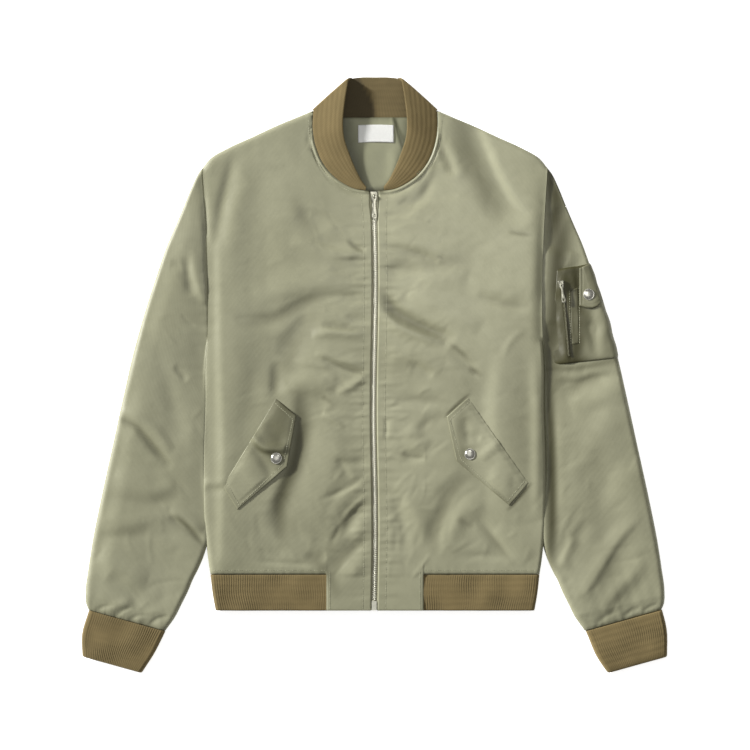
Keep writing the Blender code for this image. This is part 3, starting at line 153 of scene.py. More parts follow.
BODY_CREASES = creases(
    # wearer's right half, from the shoulder down
    (-2.2, 9, 0.3, ((-185, 296), (-193, 262), (-204, 214), (-208, 170))),
    (1.8, 16, 0.0, ((-176, 290), (-178, 240), (-188, 190), (-192, 120))),
    (-1.3, 14, 0.0, ((-104, 214), (-84, 204), (-70, 184))),
    (-1.0, 10, 0.2, ((-84, 180), (-62, 176), (-30, 170))),
    (1.6, 11, 0.0, ((-110, 178), (-70, 162), (-20, 158))),
    (-1.1, 7, 0.4, ((-60, 142), (-40, 132), (-12, 134))),
    (-0.9, 6, 0.4, ((-34, 153), (-18, 147), (-6, 146))),
    (-1.6, 4, 0.0, ((-36, 178), (-26, 171), (-12, 162))),
    (-2.2, 11, -0.3, ((-185, 74), (-150, 73), (-128, 76), (-104, 90), (-87, 97), (-50, 103), (-2, 103))),
    (2.2, 14, 0.2, ((-160, 100), (-120, 112), (-80, 122), (-30, 124))),
    (-2.4, 14, 0.0, ((-88, 88), (-96, 62), (-108, 44), (-120, 20))),
    (2.4, 6, 0.0, ((-84, 52), (-62, 56), (-36, 55), (-6, 52))),
    (-1.4, 5, 0.0, ((-72, 66), (-46, 63), (-20, 60))),
    (-1.9, 4.5, 0.2, ((-70, 22), (-52, 13), (-32, 6), (-8, 1))),
    (1.9, 5, 0.3, ((-80, 28), (-56, 22), (-34, 16), (-14, 9))),
    (2.1, 5, 0.0, ((-52, -26), (-30, -14), (-6, 4))),
    (-1.2, 6, 0.2, ((-40, 78), (-20, 72), (-4, 70))),
    (2.2, 12, 0.0, ((-112, -16), (-90, -10), (-50, -14))),
    (-1.6, 13, 0.0, ((-104, -36), (-80, -38), (-60, -34))),
    (-2.4, 8, 0.0, ((-130, 18), (-130, -4), (-131, -30))),
    (-1.6, 18, 0.0, ((-150, 60), (-158, 10), (-166, -50), (-180, -100))),
    (-3.2, 14, 0.3, ((-100, -30), (-98, -80), (-103, -114), (-114, -142), (-124, -170), (-122, -222))),
    (1.4, 16, 0.0, ((-60, -60), (-54, -110), (-66, -160), (-84, -206))),
    (1.5, 10, 0.3, ((-62, -92), (-44, -108), (-22, -140))),
    (-1.8, 9, -0.3, ((-52, -112), (-28, -116), (-4, -110))),
    (1.5, 10, 0.0, ((-66, -198), (-46, -168), (-24, -148), (-3, -142))),
    (-1.8, 9, 0.0, ((-44, -216), (-30, -190), (-8, -168))),
    (1.2, 8, 0.2, ((-28, -222), (-18, -205), (-4, -196))),
    (-2.2, 10, 0.2, ((-64, -262), (-40, -240), (-22, -226), (-4, -214))),
    (1.5, 10, 0.0, ((-52, -292), (-34, -268), (-18, -250), (-4, -238))),
    (-1.4, 8, 0.0, ((-92, -236), (-76, -243), (-64, -236))),
    (-0.9, 3.5, 0.0, ((-156, -246), (-120, -249), (-70, -251))),
    (0.9, 3.5, 0.0, ((-164, -250), (-120, -254), (-66, -256))),
    (-1.1, 6, 0.0, ((-224, -148), (-205, -152), (-196, -146))),
    (1.3, 6, 0.0, ((-226, -140), (-206, -143), (-190, -134))),
    (-1.4, 3.5, 0.3, ((-74, -166), (-44, -154), (-12, -136))),
    (1.3, 3.5, 0.0, ((-70, -156), (-52, -138), (-38, -118))),
    (-1.5, 3.5, 0.0, ((-60, -226), (-36, -188), (-6, -166))),
    (-1.4, 3.5, 0.0, ((-58, -270), (-38, -244), (-6, -218))),
    (1.2, 3.5, 0.0, ((-50, -206), (-30, -176), (-8, -156))),
    (-1.1, 3, 0.0, ((-102, -62), (-70, -50), (-46, -46))),
    (1.2, 4, 0.0, ((-108, 20), (-84, 14), (-58, 10))),
    (1.1, 4, 0.0, ((-122, -18), (-96, -20), (-66, -16))),
    (1.2, 4, 0.0, ((-70, -50), (-54, -60), (-40, -70))),
    # wearer's left half
    (1.3, 3.5, 0.0, ((24, 172), (56, 166), (96, 146))),
    (-1.2, 3.5, 0.0, ((14, 136), (40, 139), (66, 132))),
    (-1.2, 3, 0.0, ((38, -107), (50, -110), (64, -111))),
    (-1.2, 3, 0.0, ((14, -56), (15, -72), (13, -86))),
    (-1.4, 4, 0.0, ((102, 38), (112, 30), (124, 20))),
    (-1.5, 4, 0.0, ((124, 8), (130, 4), (138, 2))),
    (-2.0, 7, 0.4, ((86, 306), (92, 286), (102, 262))),
    (1.8, 10, 0.0, ((94, 310), (106, 282), (116, 258))),
    (-1.8, 8, 0.0, ((28, 222), (50, 226), (66, 240), (74, 262))),
    (-1.2, 8, 0.3, ((12, 208), (34, 212), (52, 220))),
    (-1.0, 4, 0.0, ((176, 190), (190, 187), (204, 184))),
    (2.2, 9, 0.3, ((16, 176), (48, 172), (78, 164), (112, 156))),
    (-1.8, 8, 0.3, ((8, 170), (36, 168), (60, 160), (84, 150))),
    (-1.6, 11, 0.0, ((14, 134), (40, 140), (62, 134))),
    (1.7, 12, 0.0, ((60, 120), (90, 128), (124, 130))),
    (-4.4, 9, -0.3, ((4, 112), (16, 100), (30, 84), (46, 74), (66, 64), (84, 56), (106, 46))),
    (3.8, 7, 0.0, ((0, 96), (12, 78), (34, 62), (62, 51), (92, 42))),
    (-1.6, 7, 0.0, ((98, 36), (112, 22), (124, 12), (132, 4))),
    (2.4, 13, 0.0, ((44, 110), (74, 96), (112, 76), (140, 62))),
    (-2.0, 9, 0.3, ((136, 108), (154, 98), (176, 92), (206, 90))),
    (1.6, 12, 0.0, ((120, 122), (150, 112), (190, 106))),
    (-1.5, 6, 0.0, ((44, 16), (62, 8), (76, -2))),
    (1.8, 12, 0.0, ((10, 22), (46, 26), (90, 8))),
    (-1.2, 8, 0.0, ((8, -26), (50, -32), (96, -32))),
    (1.2, 4, 0.0, ((198, 60), (184, 50), (174, 36), (170, 24))),
    (2.0, 7, 0.0, ((210, 30), (213, -20), (214, -110), (213, -190))),
    (-1.8, 7, 0.0, ((56, -76), (74, -62), (94, -50))),
    (-1.6, 6, 0.0, ((36, -104), (50, -107), (66, -108))),
    (1.6, 12, 0.0, ((40, -70), (56, -88), (70, -98))),
    (-2.0, 13, 0.2, ((128, -134), (102, -150), (90, -176), (78, -206), (72, -226))),
    (1.5, 12, 0.0, ((146, -160), (118, -182), (102, -204), (86, -232))),
    (-0.8, 7, 0.0, ((112, -186), (124, -198), (136, -196))),
    (-1.5, 8, -0.2, ((134, -186), (150, -206), (168, -232), (178, -248))),
    (1.5, 10, 0.2, ((30, -140), (44, -160), (58, -190), (66, -226))),
    (-1.3, 8, 0.0, ((24, -158), (32, -180), (38, -206), (40, -238))),
    (-0.7, 4, 0.0, ((27, -190), (28, -214), (27, -236))),
    (1.4, 14, 0.0, ((160, -200), (190, -222), (206, -244))),
    (-1.0, 6, 0.0, ((104, -236), (140, -240), (186, -238))),
)
BODY_FORMS = creases(  # the broad, slow shapes that the creases lie on
    (3.6, 24, 0.6, ((-204, 230), (-202, 120), (-200, 20), (-198, -60), (-197, -140), (-200, -250),
                    (-202, -330))),
    (1.6, 44, 0.5, ((-120, 340), (-116, 200), (-112, 100), (-106, 0), (-104, -120), (-104, -300))),
    (-2.8, 22, 0.0, ((-84, 104), (-92, 74), (-106, 44), (-120, 16), (-130, -24))),
    (2.6, 54, -0.4, ((106, 400), (104, 240), (104, 80), (100, -40), (96, -160), (96, -320))),
    (4.0, 62, -0.5, ((190, 340), (196, 240), (202, 150), (205, 60), (206, -60))),
    (-4.8, 18, -0.62, ((122, 350), (136, 316), (149, 286), (162, 256), (180, 226), (204, 206))),
    (4.6, 28, 0.4, ((206, 72), (186, 48), (170, 12), (164, -40), (166, -110), (176, -200))),
)
SLEEVE_FORMS = creases(
    (3.4, 28, 0.4, ((-232, 300), (-240, 200), (-264, 120), (-290, 30), (-304, -34), (-318, -97),
                    (-330, -160), (-342, -224), (-350, -330))),
    (-2.0, 30, 0.0, ((242, 360), (250, 274), (261, 230), (271, 190), (275, 150), (272, 100), (270, 60))),
    (-3.0, 10, 0.0, ((230, 80), (231, 20), (232, -30), (233, -90), (234, -140), (232, -210))),
    (2.4, 26, 0.0, ((266, 190), (288, 110), (304, 30), (312, -34), (322, -97), (334, -160), (344, -224),
                    (350, -320))),
)
SLEEVE_CREASES = creases(
    # wearer's right sleeve
    (-2.6, 4.5, -0.2, ((-336, -58), (-314, -70), (-297, -88), (-284, -104), (-266, -122))),
    (2.4, 6, 0.2, ((-338, -46), (-312, -56), (-290, -74), (-268, -100))),
    (-1.4, 5, 0.0, ((-266, 12), (-256, 2), (-248, -8))),
    (-1.2, 7, 0.0, ((-270, 146), (-252, 143), (-240, 140))),
    (2.8, 9, 0.3, ((-240, 166), (-236, 140), (-230, 116), (-222, 92))),
    (-2.0, 8, 0.0, ((-248, 158), (-246, 130), (-240, 104))),
    (1.5, 9, 0.0, ((-344, -130), (-318, -140), (-288, -150), (-262, -146))),
    (-1.1, 8, 0.2, ((-356, -158), (-322, -166), (-284, -168), (-256, -160))),
    (1.4, 9, 0.0, ((-364, -190), (-326, -194), (-290, -188), (-262, -190))),
    (-1.0, 8, 0.0, ((-366, -216), (-330, -212), (-296, -208))),
    (-1.6, 4, -0.3, ((-272, -186), (-256, -196), (-242, -206), (-224, -224))),
    (1.8, 7, 0.2, ((-272, -178), (-250, -190), (-226, -206))),
    (1.8, 14, 0.0, ((-306, 70), (-312, 20), (-326, -30))),
    (2.0, 14, 0.0, ((-364, -236), (-330, -262), (-300, -272))),
    (-1.6, 12, 0.0, ((-350, -262), (-326, -282), (-306, -304))),
    (-1.4, 13, 0.0, ((-290, 40), (-268, -30), (-256, -90))),
    (-0.9, 3.5, 0.3, ((-344, -322), (-334, -312), (-318, -306))),
    (-0.9, 3.5, -0.3, ((-300, -332), (-288, -322), (-272, -318))),
    (0.9, 6, 0.0, ((-356, -314), (-340, -304), (-318, -298))),
    (0.8, 6, 0.0, ((-318, -326), (-300, -316), (-278, -310))),
    (-0.7, 3, 0.0, ((-370, -312), (-358, -306), (-342, -304))),
    (-0.7, 3, 0.0, ((-326, -324), (-312, -318), (-296, -318))),
    # wearer's left sleeve
    (0.7, 6, 0.3, ((254, 216), (248, 196), (240, 170))),
    (1.4, 7, 0.3, ((262, 164), (256, 150), (250, 138))),
    (-2.2, 9, 0.0, ((244, 224), (238, 190), (232, 160))),
    (2.1, 8, -0.3, ((352, -184), (336, -200), (322, -216), (300, -250), (270, -300))),
    (-0.5, 9, 0.2, ((356, -208), (336, -226), (316, -254), (292, -292))),
    (1.5, 9, 0.0, ((356, -242), (336, -268), (314, -290), (300, -314))),
    (-0.4, 8, 0.0, ((362, -262), (344, -286), (322, -310))),
    (2.0, 8, 0.3, ((264, -212), (256, -230), (244, -256))),
    (-1.1, 9, 0.0, ((280, -190), (266, -222), (252, -250))),
    (1.8, 16, 0.0, ((318, -40), (286, -96), (256, -140))),
    (-1.4, 14, 0.0, ((346, -90), (314, -130), (286, -180))),
    (-2.2, 8, 0.4, ((322, 0), (290, -4), (262, -12), (238, -8))),
    (1.6, 12, 0.0, ((326, -24), (296, -30), (258, -44))),
    (-0.8, 3.5, 0.0, ((326, -322), (338, -312), (352, -306))),
    (-0.8, 3.5, 0.2, ((292, -330), (306, -318), (322, -312))),
    (-0.7, 3, 0.0, ((352, -314), (364, -306), (374, -302))),
)

# Painted shade where folds keep cloth in shade: how much of the deep colour shows (0 to 1), width, lean and
# path.
BODY_SHADES = creases(
    (0.075, 95, 0.0, ((-95, 700), (-95, 200), (-95, -200), (-95, -700))),
    (0.45, 3, 0.0, ((-64, 19), (-40, 9), (-2, -2))),
    (0.40, 3, 0.0, ((-40, 180), (-30, 172), (-12, 160))),
    (0.30, 3, 0.0, ((-60, 153), (-36, 154), (-6, 152))),
    (0.30, 4, 0.0, ((-76, 66), (-46, 63), (-16, 60))),
    (0.45, 3.5, 0.0, ((82, 314), (88, 298), (96, 280), (104, 260))),
    (0.30, 4, 0.0, ((80, 294), (75, 264), (56, 232))),
    (0.40, 3, 0.0, ((176, 189), (192, 186), (208, 184))),
    (0.45, 3.5, 0.0, ((98, 42), (112, 31), (126, 18))),
    (0.55, 4, 0.0, ((122, 13), (131, 5), (142, -2))),
    (0.22, 3.5, 0.0, ((106, -189), (119, -195), (132, -202))),
    (0.30, 4, 0.0, ((138, -196), (160, -222), (184, -252))),
    (0.35, 3, 0.0, ((28, -103), (50, -107), (72, -108))),
    (0.40, 4, 0.0, ((-72, -28), (-64, -32), (-56, -38))),
    (0.52, 9, -0.2, ((0, 116), (16, 100), (30, 84), (46, 73), (66, 62), (84, 55), (106, 45))),
    (0.44, 16, 0.0, ((100, 352), (112, 322), (126, 290), (140, 258), (154, 226), (176, 200))),
    (0.34, 12, 0.0, ((-70, 104), (-80, 80), (-86, 56), (-101, 38), (-112, 18), (-128, -8), (-132, -44))),
    (0.30, 8, 0.0, ((-180, 66), (-150, 72), (-128, 76), (-104, 88), (-87, 96), (-56, 100))),
    (0.78, 12, 0.2, ((-108, 0), (-100, -52), (-101, -90), (-107, -120), (-118, -146), (-126, -172),
                     (-124, -205), (-120, -236))),
    (0.20, 27, 0.0, ((186, 110), (188, 40), (190, -40), (188, -120), (184, -190))),
    (0.34, 7, 0.0, ((-66, -240), (-34, -188), (2, -156))),
    (0.34, 8, 0.0, ((-68, -284), (-40, -242), (2, -204))),
    (0.40, 9, 0.0, ((-90, -232), (-68, -258), (-56, -276), (-48, -300))),
    (0.26, 14, 0.0, ((-100, -90), (-108, -140), (-110, -180), (-108, -230))),
    (0.24, 9, 0.0, ((-20, 144), (16, 146), (60, 146), (130, 152))),
    (0.14, 26, 0.0, ((-40, 26), (20, 20), (60, 10), (150, -14))),
    (0.85, 2.4, 0.0, ((89, -58), (95, -52), (121, -28), (127, -23))),
    (0.85, 2.4, 0.0, ((173, -180), (178, -175), (204, -145), (208, -140))),
    (0.30, 7, 0.0, ((140, -122), (104, -152), (88, -186), (74, -240))),
    (0.24, 7, 0.0, ((6, 176), (36, 164), (60, 160), (92, 146))),
    (0.24, 6, 0.0, ((20, -34), (50, -32), (104, -34))),
    (0.30, 5, 0.0, ((40, -82), (60, -80), (84, -58), (100, -42))),
    (0.24, 9, 0.0, ((-112, 240), (-98, 214), (-84, 190))),
    (0.24, 6, 0.0, ((206, 92), (180, 92), (150, 98))),
)
SLEEVE_SHADES = creases(
    (1.0, 18, 0.1, ((226, 400), (231, 290), (238, 240), (242, 200), (242, 160), (240, 120), (238, 80),
                    (234, 45), (232, 0), (232, -90))),
    (0.6, 5, 0.0, ((190, 4), (214, 7), (238, 8), (264, 9), (292, 14), (318, 20), (340, 24))),
    (0.95, 8, 0.0, ((230, 20), (232, -60), (234, -120), (234, -190), (228, -280))),
    (0.45, 4, 0.0, ((-340, -54), (-314, -70), (-297, -87), (-284, -103), (-264, -124))),
    (0.60, 4, 0.0, ((-266, -182), (-246, -202), (-222, -230))),
    (0.14, 10, 0.0, ((-366, -150), (-322, -162), (-284, -166), (-246, -156))),
    (0.10, 10, 0.0, ((-370, -206), (-330, -206), (-286, -204))),
    (0.30, 14, 0.0, ((300, -2), (276, -10), (250, -20))),
    (0.20, 10, 0.0, ((-214, 250), (-220, 200), (-226, 170))),
    (0.17, 38, 0.0, ((262, -10), (282, -120), (300, -220), (324, -400))),
)


# ---------------- lines and meshes
def smooth(table, at):
    """Rows of a table at fractional row numbers, on a smooth line through all of them."""
    table, at = np.asarray(table, float), np.asarray(at, float)
    run = np.diff(table, axis=0)
    step = np.linalg.norm(run, axis=1)[:, None]
    slope = run / step
    inner = (slope[:-1] * step[1:] + slope[1:] * step[:-1]) / (step[:-1] + step[1:])
    slope = np.vstack([slope[:1], inner, slope[-1:]])
    k = np.clip(at.astype(int), 0, len(table) - 2)
    t = (at - k)[:, None]
    return ((1 + 2 * t) * (1 - t) ** 2 * table[k] + t * (1 - t) ** 2 * step[k] * slope[k]
            + t**2 * (3 - 2 * t) * table[k + 1] - t**2 * (1 - t) * step[k] * slope[k + 1])


def lengths(line):
    """Length along a line up to each of its points."""
    return np.concatenate([[0.0], np.cumsum(np.linalg.norm(np.diff(line, axis=0), axis=1))])


def along(line, at):
    """Points of a line of straight stretches at fractions of its length."""
    line = np.asarray(line, float)
    steps = lengths(line)
    return np.stack([np.interp(np.asarray(at) * steps[-1], steps, column) for column in line.T], axis=-1)


def curve(table, count):
    """Evenly spaced points on a smooth line through a table."""
    return along(smooth(table, np.linspace(0, len(table) - 1, 12 * len(table))), np.linspace(0, 1, count))


NECK_LINE = curve(NECK_FRONT, 60)
SHOULDER_LINE = curve(SHOULDER, 40)
SIDE_LINE = curve(SIDE, 80)
BODY_LINE = curve((*ARMHOLE[:-1], *SIDE), 160)
ARMHOLE_LINE = BODY_LINE[BODY_LINE[:, 1] > UNDERARM_Y]
INNER_LINE = curve(SLEEVE_INNER, 120)
OUTER_LINE = curve(SLEEVE_OUTER, 160)


def x_at(line, y):
    """x on a line at heights y, where y falls along the line."""
    return np.interp(y, line[::-1, 1], line[::-1, 0])


def point_at(line, y):
    """The point of a line at height y."""
    return np.array([x_at(line, y), y])


def bell(far, width, power=2):
    """1 at no distance, falling smoothly to 0 past a width."""
    return np.exp(-((far / width) ** power))


def valley(far, depth, width):
    """The dip of cloth into a seam or a line of stitches."""
    return -depth * bell(far, width)


def rim(far, width):
    """The drop of a rolled edge: 1 at the edge itself, 0 from a width inside it."""
    return 1 - np.sqrt(1 - np.clip(1 - far / width, 0, 1) ** 2)


def turn(reach, angles):
    """Distances from a rounded edge of places at angles (in degrees) round it."""
    return reach * (1 - np.sin(np.radians(angles)))


def share(values):
    """Values as parts, 0 to 1, of their whole run."""
    return (values - values[0]) / (values[-1] - values[0])


def smooth_step(part):
    """A part from 0 to 1, made to start and end gently."""
    return part * part * (3 - 2 * part)


def inset(points, edge):
    """How far points lie from an edge that runs clockwise, the way out of the cloth there, and the length
    along the edge to the nearest place."""
    runs = np.diff(edge, axis=0)
    steps = lengths(edge)
    out = np.stack([-runs[:, 1], runs[:, 0]], axis=1) / np.linalg.norm(runs, axis=1)[:, None]
    ends = np.concatenate([out[:1], out[:-1] + out[1:], out[-1:]])
    ends /= np.linalg.norm(ends, axis=1)[:, None]
    best, at = np.full(points.shape[:-1], 1e9), np.zeros(points.shape[:-1])
    way = np.zeros(points.shape)
    for k, run in enumerate(runs):
        t = np.clip(((points - edge[k]) @ run) / (run @ run), 0, 1)[..., None]
        far = np.linalg.norm(points - edge[k] - t * run, axis=-1)
        nearer = far < best
        best = np.where(nearer, far, best)
        at = np.where(nearer, steps[k] + t[..., 0] * (steps[k + 1] - steps[k]), at)
        way = np.where(nearer[..., None], (1 - t) * ends[k] + t * ends[k + 1], way)
    return best, way / np.linalg.norm(way, axis=-1)[..., None], at


def creased(points, table):
    """Height of the creases at plan points. Those that meet run into one another."""
    flat = points.reshape(-1, 2)
    up, down = np.zeros(len(flat)), np.zeros(len(flat))
    for crease in table:
        line = smooth(crease.path, np.linspace(0, len(crease.path) - 1, 6 * len(crease.path)))
        room = 2.6 * crease.width * (1 + abs(crease.lean))
        near = np.flatnonzero(((flat > line.min(0) - room) & (flat < line.max(0) + room)).all(axis=1))
        runs, steps = np.diff(line, axis=0), lengths(line)
        away = flat[near, None] - line[None, :-1]
        t = np.clip((away * runs).sum(-1) / (runs**2).sum(-1), 0, 1)
        off = away - t[..., None] * runs
        far = np.linalg.norm(off, axis=-1)
        best = far.argmin(axis=1)
        rows = np.arange(len(near))
        t, far, off, run = t[rows, best], far[rows, best], off[rows, best], runs[best]
        side = np.sign(run[:, 0] * off[:, 1] - run[:, 1] * off[:, 0])
        width = crease.width * (1 + crease.lean * side)
        part = (steps[best] + t * (steps[best + 1] - steps[best])) / steps[-1]
        ends = np.clip(np.minimum(part, 1 - part) / 0.35, 0, 1)
        height = abs(crease.height) * ends * (2 - ends) * bell(far, width)
        (up if crease.height > 0 else down)[near] += height**3
    return (np.cbrt(up) - np.cbrt(down)).reshape(points.shape[:-1])


def ripple(s, seed, waves=(7.0, 11.0, 17.0)):
    """An uneven run of small ups and downs along a seam, between about -1 and 1."""
    rng = np.random.default_rng(seed)
    total = np.zeros(np.shape(s))
    for wave in waves:
        drift = 1.2 * np.sin(s / (4.7 * wave) + rng.uniform(0, 6))
        swell = 0.65 + 0.35 * np.sin(s / (2.9 * wave) + rng.uniform(0, 6))
        total += swell * np.sin(2 * np.pi * s / wave + drift + rng.uniform(0, 6))
    return total / len(waves)


def strewn(seed, count, side, xs, ys, angles, height=0.8, widths=(2.2, 5.0)):
    """Short small creases scattered over a side of the jacket, mostly at angles (in degrees) given by y."""
    low_x, high_x = sorted(x * side for x in xs)
    rng = np.random.default_rng(seed)
    table = []
    for _ in range(count):
        place = rng.uniform((low_x, ys[0]), (high_x, ys[1]))
        angle = np.radians(np.interp(place[1], *angles) + rng.normal(0, 26)) * np.sign(place[0])
        half, bow = rng.uniform(7, 26), rng.uniform(-0.25, 0.25)
        way = np.array([np.cos(angle), np.sin(angle)]) * half
        middle = place + bow * np.array([-way[1], way[0]])
        tall = height * rng.uniform(0.35, 1.0) * rng.choice((-1, 1))
        path = (place - way, middle, place + way)
        table.append(Crease(tall, rng.uniform(*widths), rng.uniform(-0.5, 0.5), path))
    return table


def rumple(points, seed, shortest, longest, count=14):
    """Slow waves of the cloth in every direction, between about -1 and 1."""
    rng = np.random.default_rng(seed)
    total = np.zeros(points.shape[:-1])
    for _ in range(count):
        angle, wave = rng.uniform(0, np.pi), rng.uniform(shortest, longest)
        way = np.array([np.cos(angle), np.sin(angle)])
        across = points @ np.array([-way[1], way[0]])
        bend = 0.9 * np.sin(across / wave * 2.3)
        total += np.sin(2 * np.pi * (points @ way) / wave + bend + rng.uniform(0, 6))
    return total / np.sqrt(count)


def cloth(name, outer, inner, material, closed=False, keep=None, grain=None, **values):
    """A closed thin wall between two grids of points, with a grain map and point values such as relief."""
    rows, columns = outer.shape[:2]
    i, j = (part.ravel() for part in np.mgrid[0:rows - 1, 0:columns - (not closed)])
    if keep is not None:
        kept = keep(i, j)
        i, j = i[kept], j[kept]
    corner_i, corner_j = np.stack([i, i, i + 1, i + 1], axis=1), np.stack([j, j + 1, j + 1, j], axis=1)
    cells = corner_i * columns + corner_j % columns
    if grain is None:
        across = np.linalg.norm(np.diff(outer[rows // 2], axis=0, append=outer[rows // 2][:1]), axis=1)
        down = np.linalg.norm(np.diff(outer[:, columns // 2], axis=0), axis=1)
        grain = (np.concatenate([[0], np.cumsum(across)]), np.concatenate([[0], np.cumsum(down)]))
    loops = np.stack([grain[0][corner_j], grain[1][corner_i]], axis=-1) * MM

    used, cells = np.unique(cells, return_inverse=True)
    cells = cells.reshape(-1, 4)
    count = len(used)
    a, b = cells, np.roll(cells, -1, axis=1)
    outline = ~np.isin(a * count + b, b * count + a)
    a, b = a[outline], b[outline]
    side_loops = np.concatenate([loops[outline], np.roll(loops, -1, axis=1)[outline]], axis=1)
    side_loops = side_loops.reshape(-1, 2, 2)
    faces = np.concatenate([cells, cells[:, ::-1] + count, np.stack([b, a, a + count, b + count], axis=1)])
    grains = np.concatenate([loops, loops[:, ::-1], side_loops[:, (1, 0, 0, 1)]])
    points = np.concatenate([outer.reshape(-1, 3)[used], inner.reshape(-1, 3)[used]]) * MM
    corners = points[faces]
    volume = np.einsum("ij,ij->i", np.cross(corners[:, 0], corners[:, 1]), corners[:, 2]).sum() \
        + np.einsum("ij,ij->i", np.cross(corners[:, 0], corners[:, 2]), corners[:, 3]).sum()
    if volume < 0:
        faces, grains = faces[:, ::-1], grains[:, ::-1]

    mesh = bpy.data.meshes.new(name)
    mesh.from_pydata(points.tolist(), [], faces.tolist())
    mesh.uv_layers.new(name="grain").data.foreach_set("uv", grains.ravel())
    for key, value in values.items():
        data = np.tile(np.broadcast_to(value, (rows, columns)).ravel()[used], 2)
        mesh.attributes.new(key, "FLOAT", "POINT").data.foreach_set("value", data.astype(np.float32))
    mesh.shade_smooth()
    mesh.materials.append(material)
    piece = bpy.data.objects.new(name, mesh)
    bpy.context.scene.collection.objects.link(piece)
    return piece


def settle(piece, slot, *nodes, body="jacket"):
    """Attaches a piece to the body it rides on and hides the solids it stands for. Its finish, slot, is not
    used.
    """
    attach(piece, body)
    if nodes:
        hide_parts(*nodes)
    return piece


def tree_of(piece):
    """A piece's faces in millimetres, for finding the cloth under a place."""
    return BVHTree.FromPolygons([v.co / MM for v in piece.data.vertices],
                                [tuple(p.vertices) for p in piece.data.polygons])


def level_on(tree, x, y):
    """The height of the cloth at a place."""
    return tree.ray_cast((x, y, 100.0), (0, 0, -1))[0].z


# ---------------- materials
def linear(code):
    """A linear colour from an sRGB hex value."""
    parts = [int(code[k:k + 2], 16) / 255 for k in (1, 3, 5)]
    return (*(c / 12.92 if c <= 0.04045 else ((c + 0.055) / 1.055) ** 2.4 for c in parts), 1.0)


def add(material, kind, inputs=(), **settings):
    """A node of a material, with its settings and with its inputs set or linked."""
    made = material.node_tree.nodes.new("ShaderNode" + kind)
    for name, value in settings.items():
        setattr(made, name, value)
    for socket, value in dict(inputs).items():
        if isinstance(value, bpy.types.NodeSocket):
            material.node_tree.links.new(value, made.inputs[socket])
        else:
            made.inputs[socket].default_value = value
    return made


def finish(name, **sockets):
    """A new material, with what is the same all over set on its shader, and its object coordinates."""
    made = bpy.data.materials.new(name)
    made.use_nodes = True
    for socket, value in sockets.items():
        made.node_tree.nodes["Principled BSDF"].inputs[socket.replace("_", " ")].default_value = value
    return made, add(made, "TexCoord").outputs["Object"]


def feed(material, **sources):
    """Links the nodes that vary over a material to its shader."""
    for socket, source in sources.items():
        shader = material.node_tree.nodes["Principled BSDF"]
        material.node_tree.links.new(source, shader.inputs[socket.replace("_", " ")])
    return material


def grain_of(material):
    """Places on the cloth itself, along its threads, in metres."""
    return add(material, "UVMap", uv_map="grain").outputs["UV"]


def value_of(material, name):
    """A point value of the mesh."""
    return add(material, "Attribute", attribute_name=name).outputs["Fac"]


def noise(material, place, scale, detail=2.0, **more):
    """Cloudy noise of a scale, from 0 to 1."""
    settings = {"Vector": place, "Scale": scale, "Detail": detail, **more}
    return add(material, "TexNoise", settings).outputs["Fac"]


def bands(material, place, spacing, direction, distortion, detail=2.0):
    """Bands that far apart, in metres."""
    settings = {"Vector": place, "Scale": 1 / spacing / 20, "Distortion": distortion, "Detail": detail}
    return add(material, "TexWave", settings, bands_direction=direction).outputs["Fac"]


def blend(material, factor, low, high):
    """A colour from low to high, each a hex value or what another node gives."""
    low, high = (linear(colour) if isinstance(colour, str) else colour for colour in (low, high))
    return add(material, "Mix", {"Factor": factor, 6: low, 7: high}, data_type="RGBA").outputs[2]


def spread(material, value, low, high, start=0.0, end=1.0):
    """A value that runs from start to end, made to run from low to high."""
    settings = {"Value": value, "From Min": start, "From Max": end, "To Min": low, "To Max": high}
    return add(material, "MapRange", settings).outputs["Result"]


def bump(material, height, strength, distance, **under):
    """A rough surface drawn by a height, over another where one is given."""
    settings = {"Height": height, "Strength": strength, "Distance": distance, **under}
    return add(material, "Bump", settings).outputs["Normal"]


def satin_nylon(name, light, mid, deep):
    """Satin-woven flight nylon: long floats of fine thread give a soft shine that follows the folds."""
    made, place = finish(name, Specular_IOR_Level=0.4, Sheen_Weight=0.12, Sheen_Roughness=0.35,
                         Sheen_Tint=linear("#DADBC6"))
    small = noise(made, place, 70.0, 3.0, Roughness=0.55)
    cloudy = blend(made, noise(made, place, 9.0), mid, light)
    mottled = blend(made, spread(made, small, 0.0, 0.09, 0.35, 0.75), cloudy, deep)
    # The threads are 0.15 mm apart, too fine to show, so the weave is drawn at 0.7 mm.
    weave = bump(made, bands(made, grain_of(made), 0.0007, "DIAGONAL", 1.0, 1.0), 0.10, 0.0002)
    dents = noise(made, place, 85.0, Distortion=0.6)  # crushed cloth keeps dents 8 to 15 mm across
    # Where the seam value is high the deep colour shows: a little darker along some seams, and mostly
    # painted shade in folds, beside the body and round flaps and pockets.
    return feed(made, Base_Color=blend(made, value_of(made, "seam"), mottled, deep),
                Roughness=spread(made, small, 0.46, 0.58),
                Normal=bump(made, dents, 0.08, 0.0016, Normal=weave))


def rib_knit(name):
    """Wool and nylon rib, doubled: matt and a little fuzzy, with painted shade between its ribs."""
    made, place = finish(name, Roughness=0.92, Sheen_Weight=0.25, Sheen_Roughness=0.6,
                         Sheen_Tint=linear("#B8A878"))
    yarn = blend(made, noise(made, place, 45.0, 3.0), "#5A4D2C", "#74643F")
    ribs = blend(made, value_of(made, "relief"), "#4B4023", yarn)
    rows = bump(made, bands(made, grain_of(made), 0.0013, "Y", 1.5), 0.5, 0.0003)  # of knit stitches
    fuzz = noise(made, place, 900.0)
    # The seam value mixes in painted shade, as on the back of the collar.
    return feed(made, Base_Color=blend(made, value_of(made, "seam"), ribs, "#2A2312"),
                Normal=bump(made, fuzz, 0.4, 0.0003, Normal=rows))


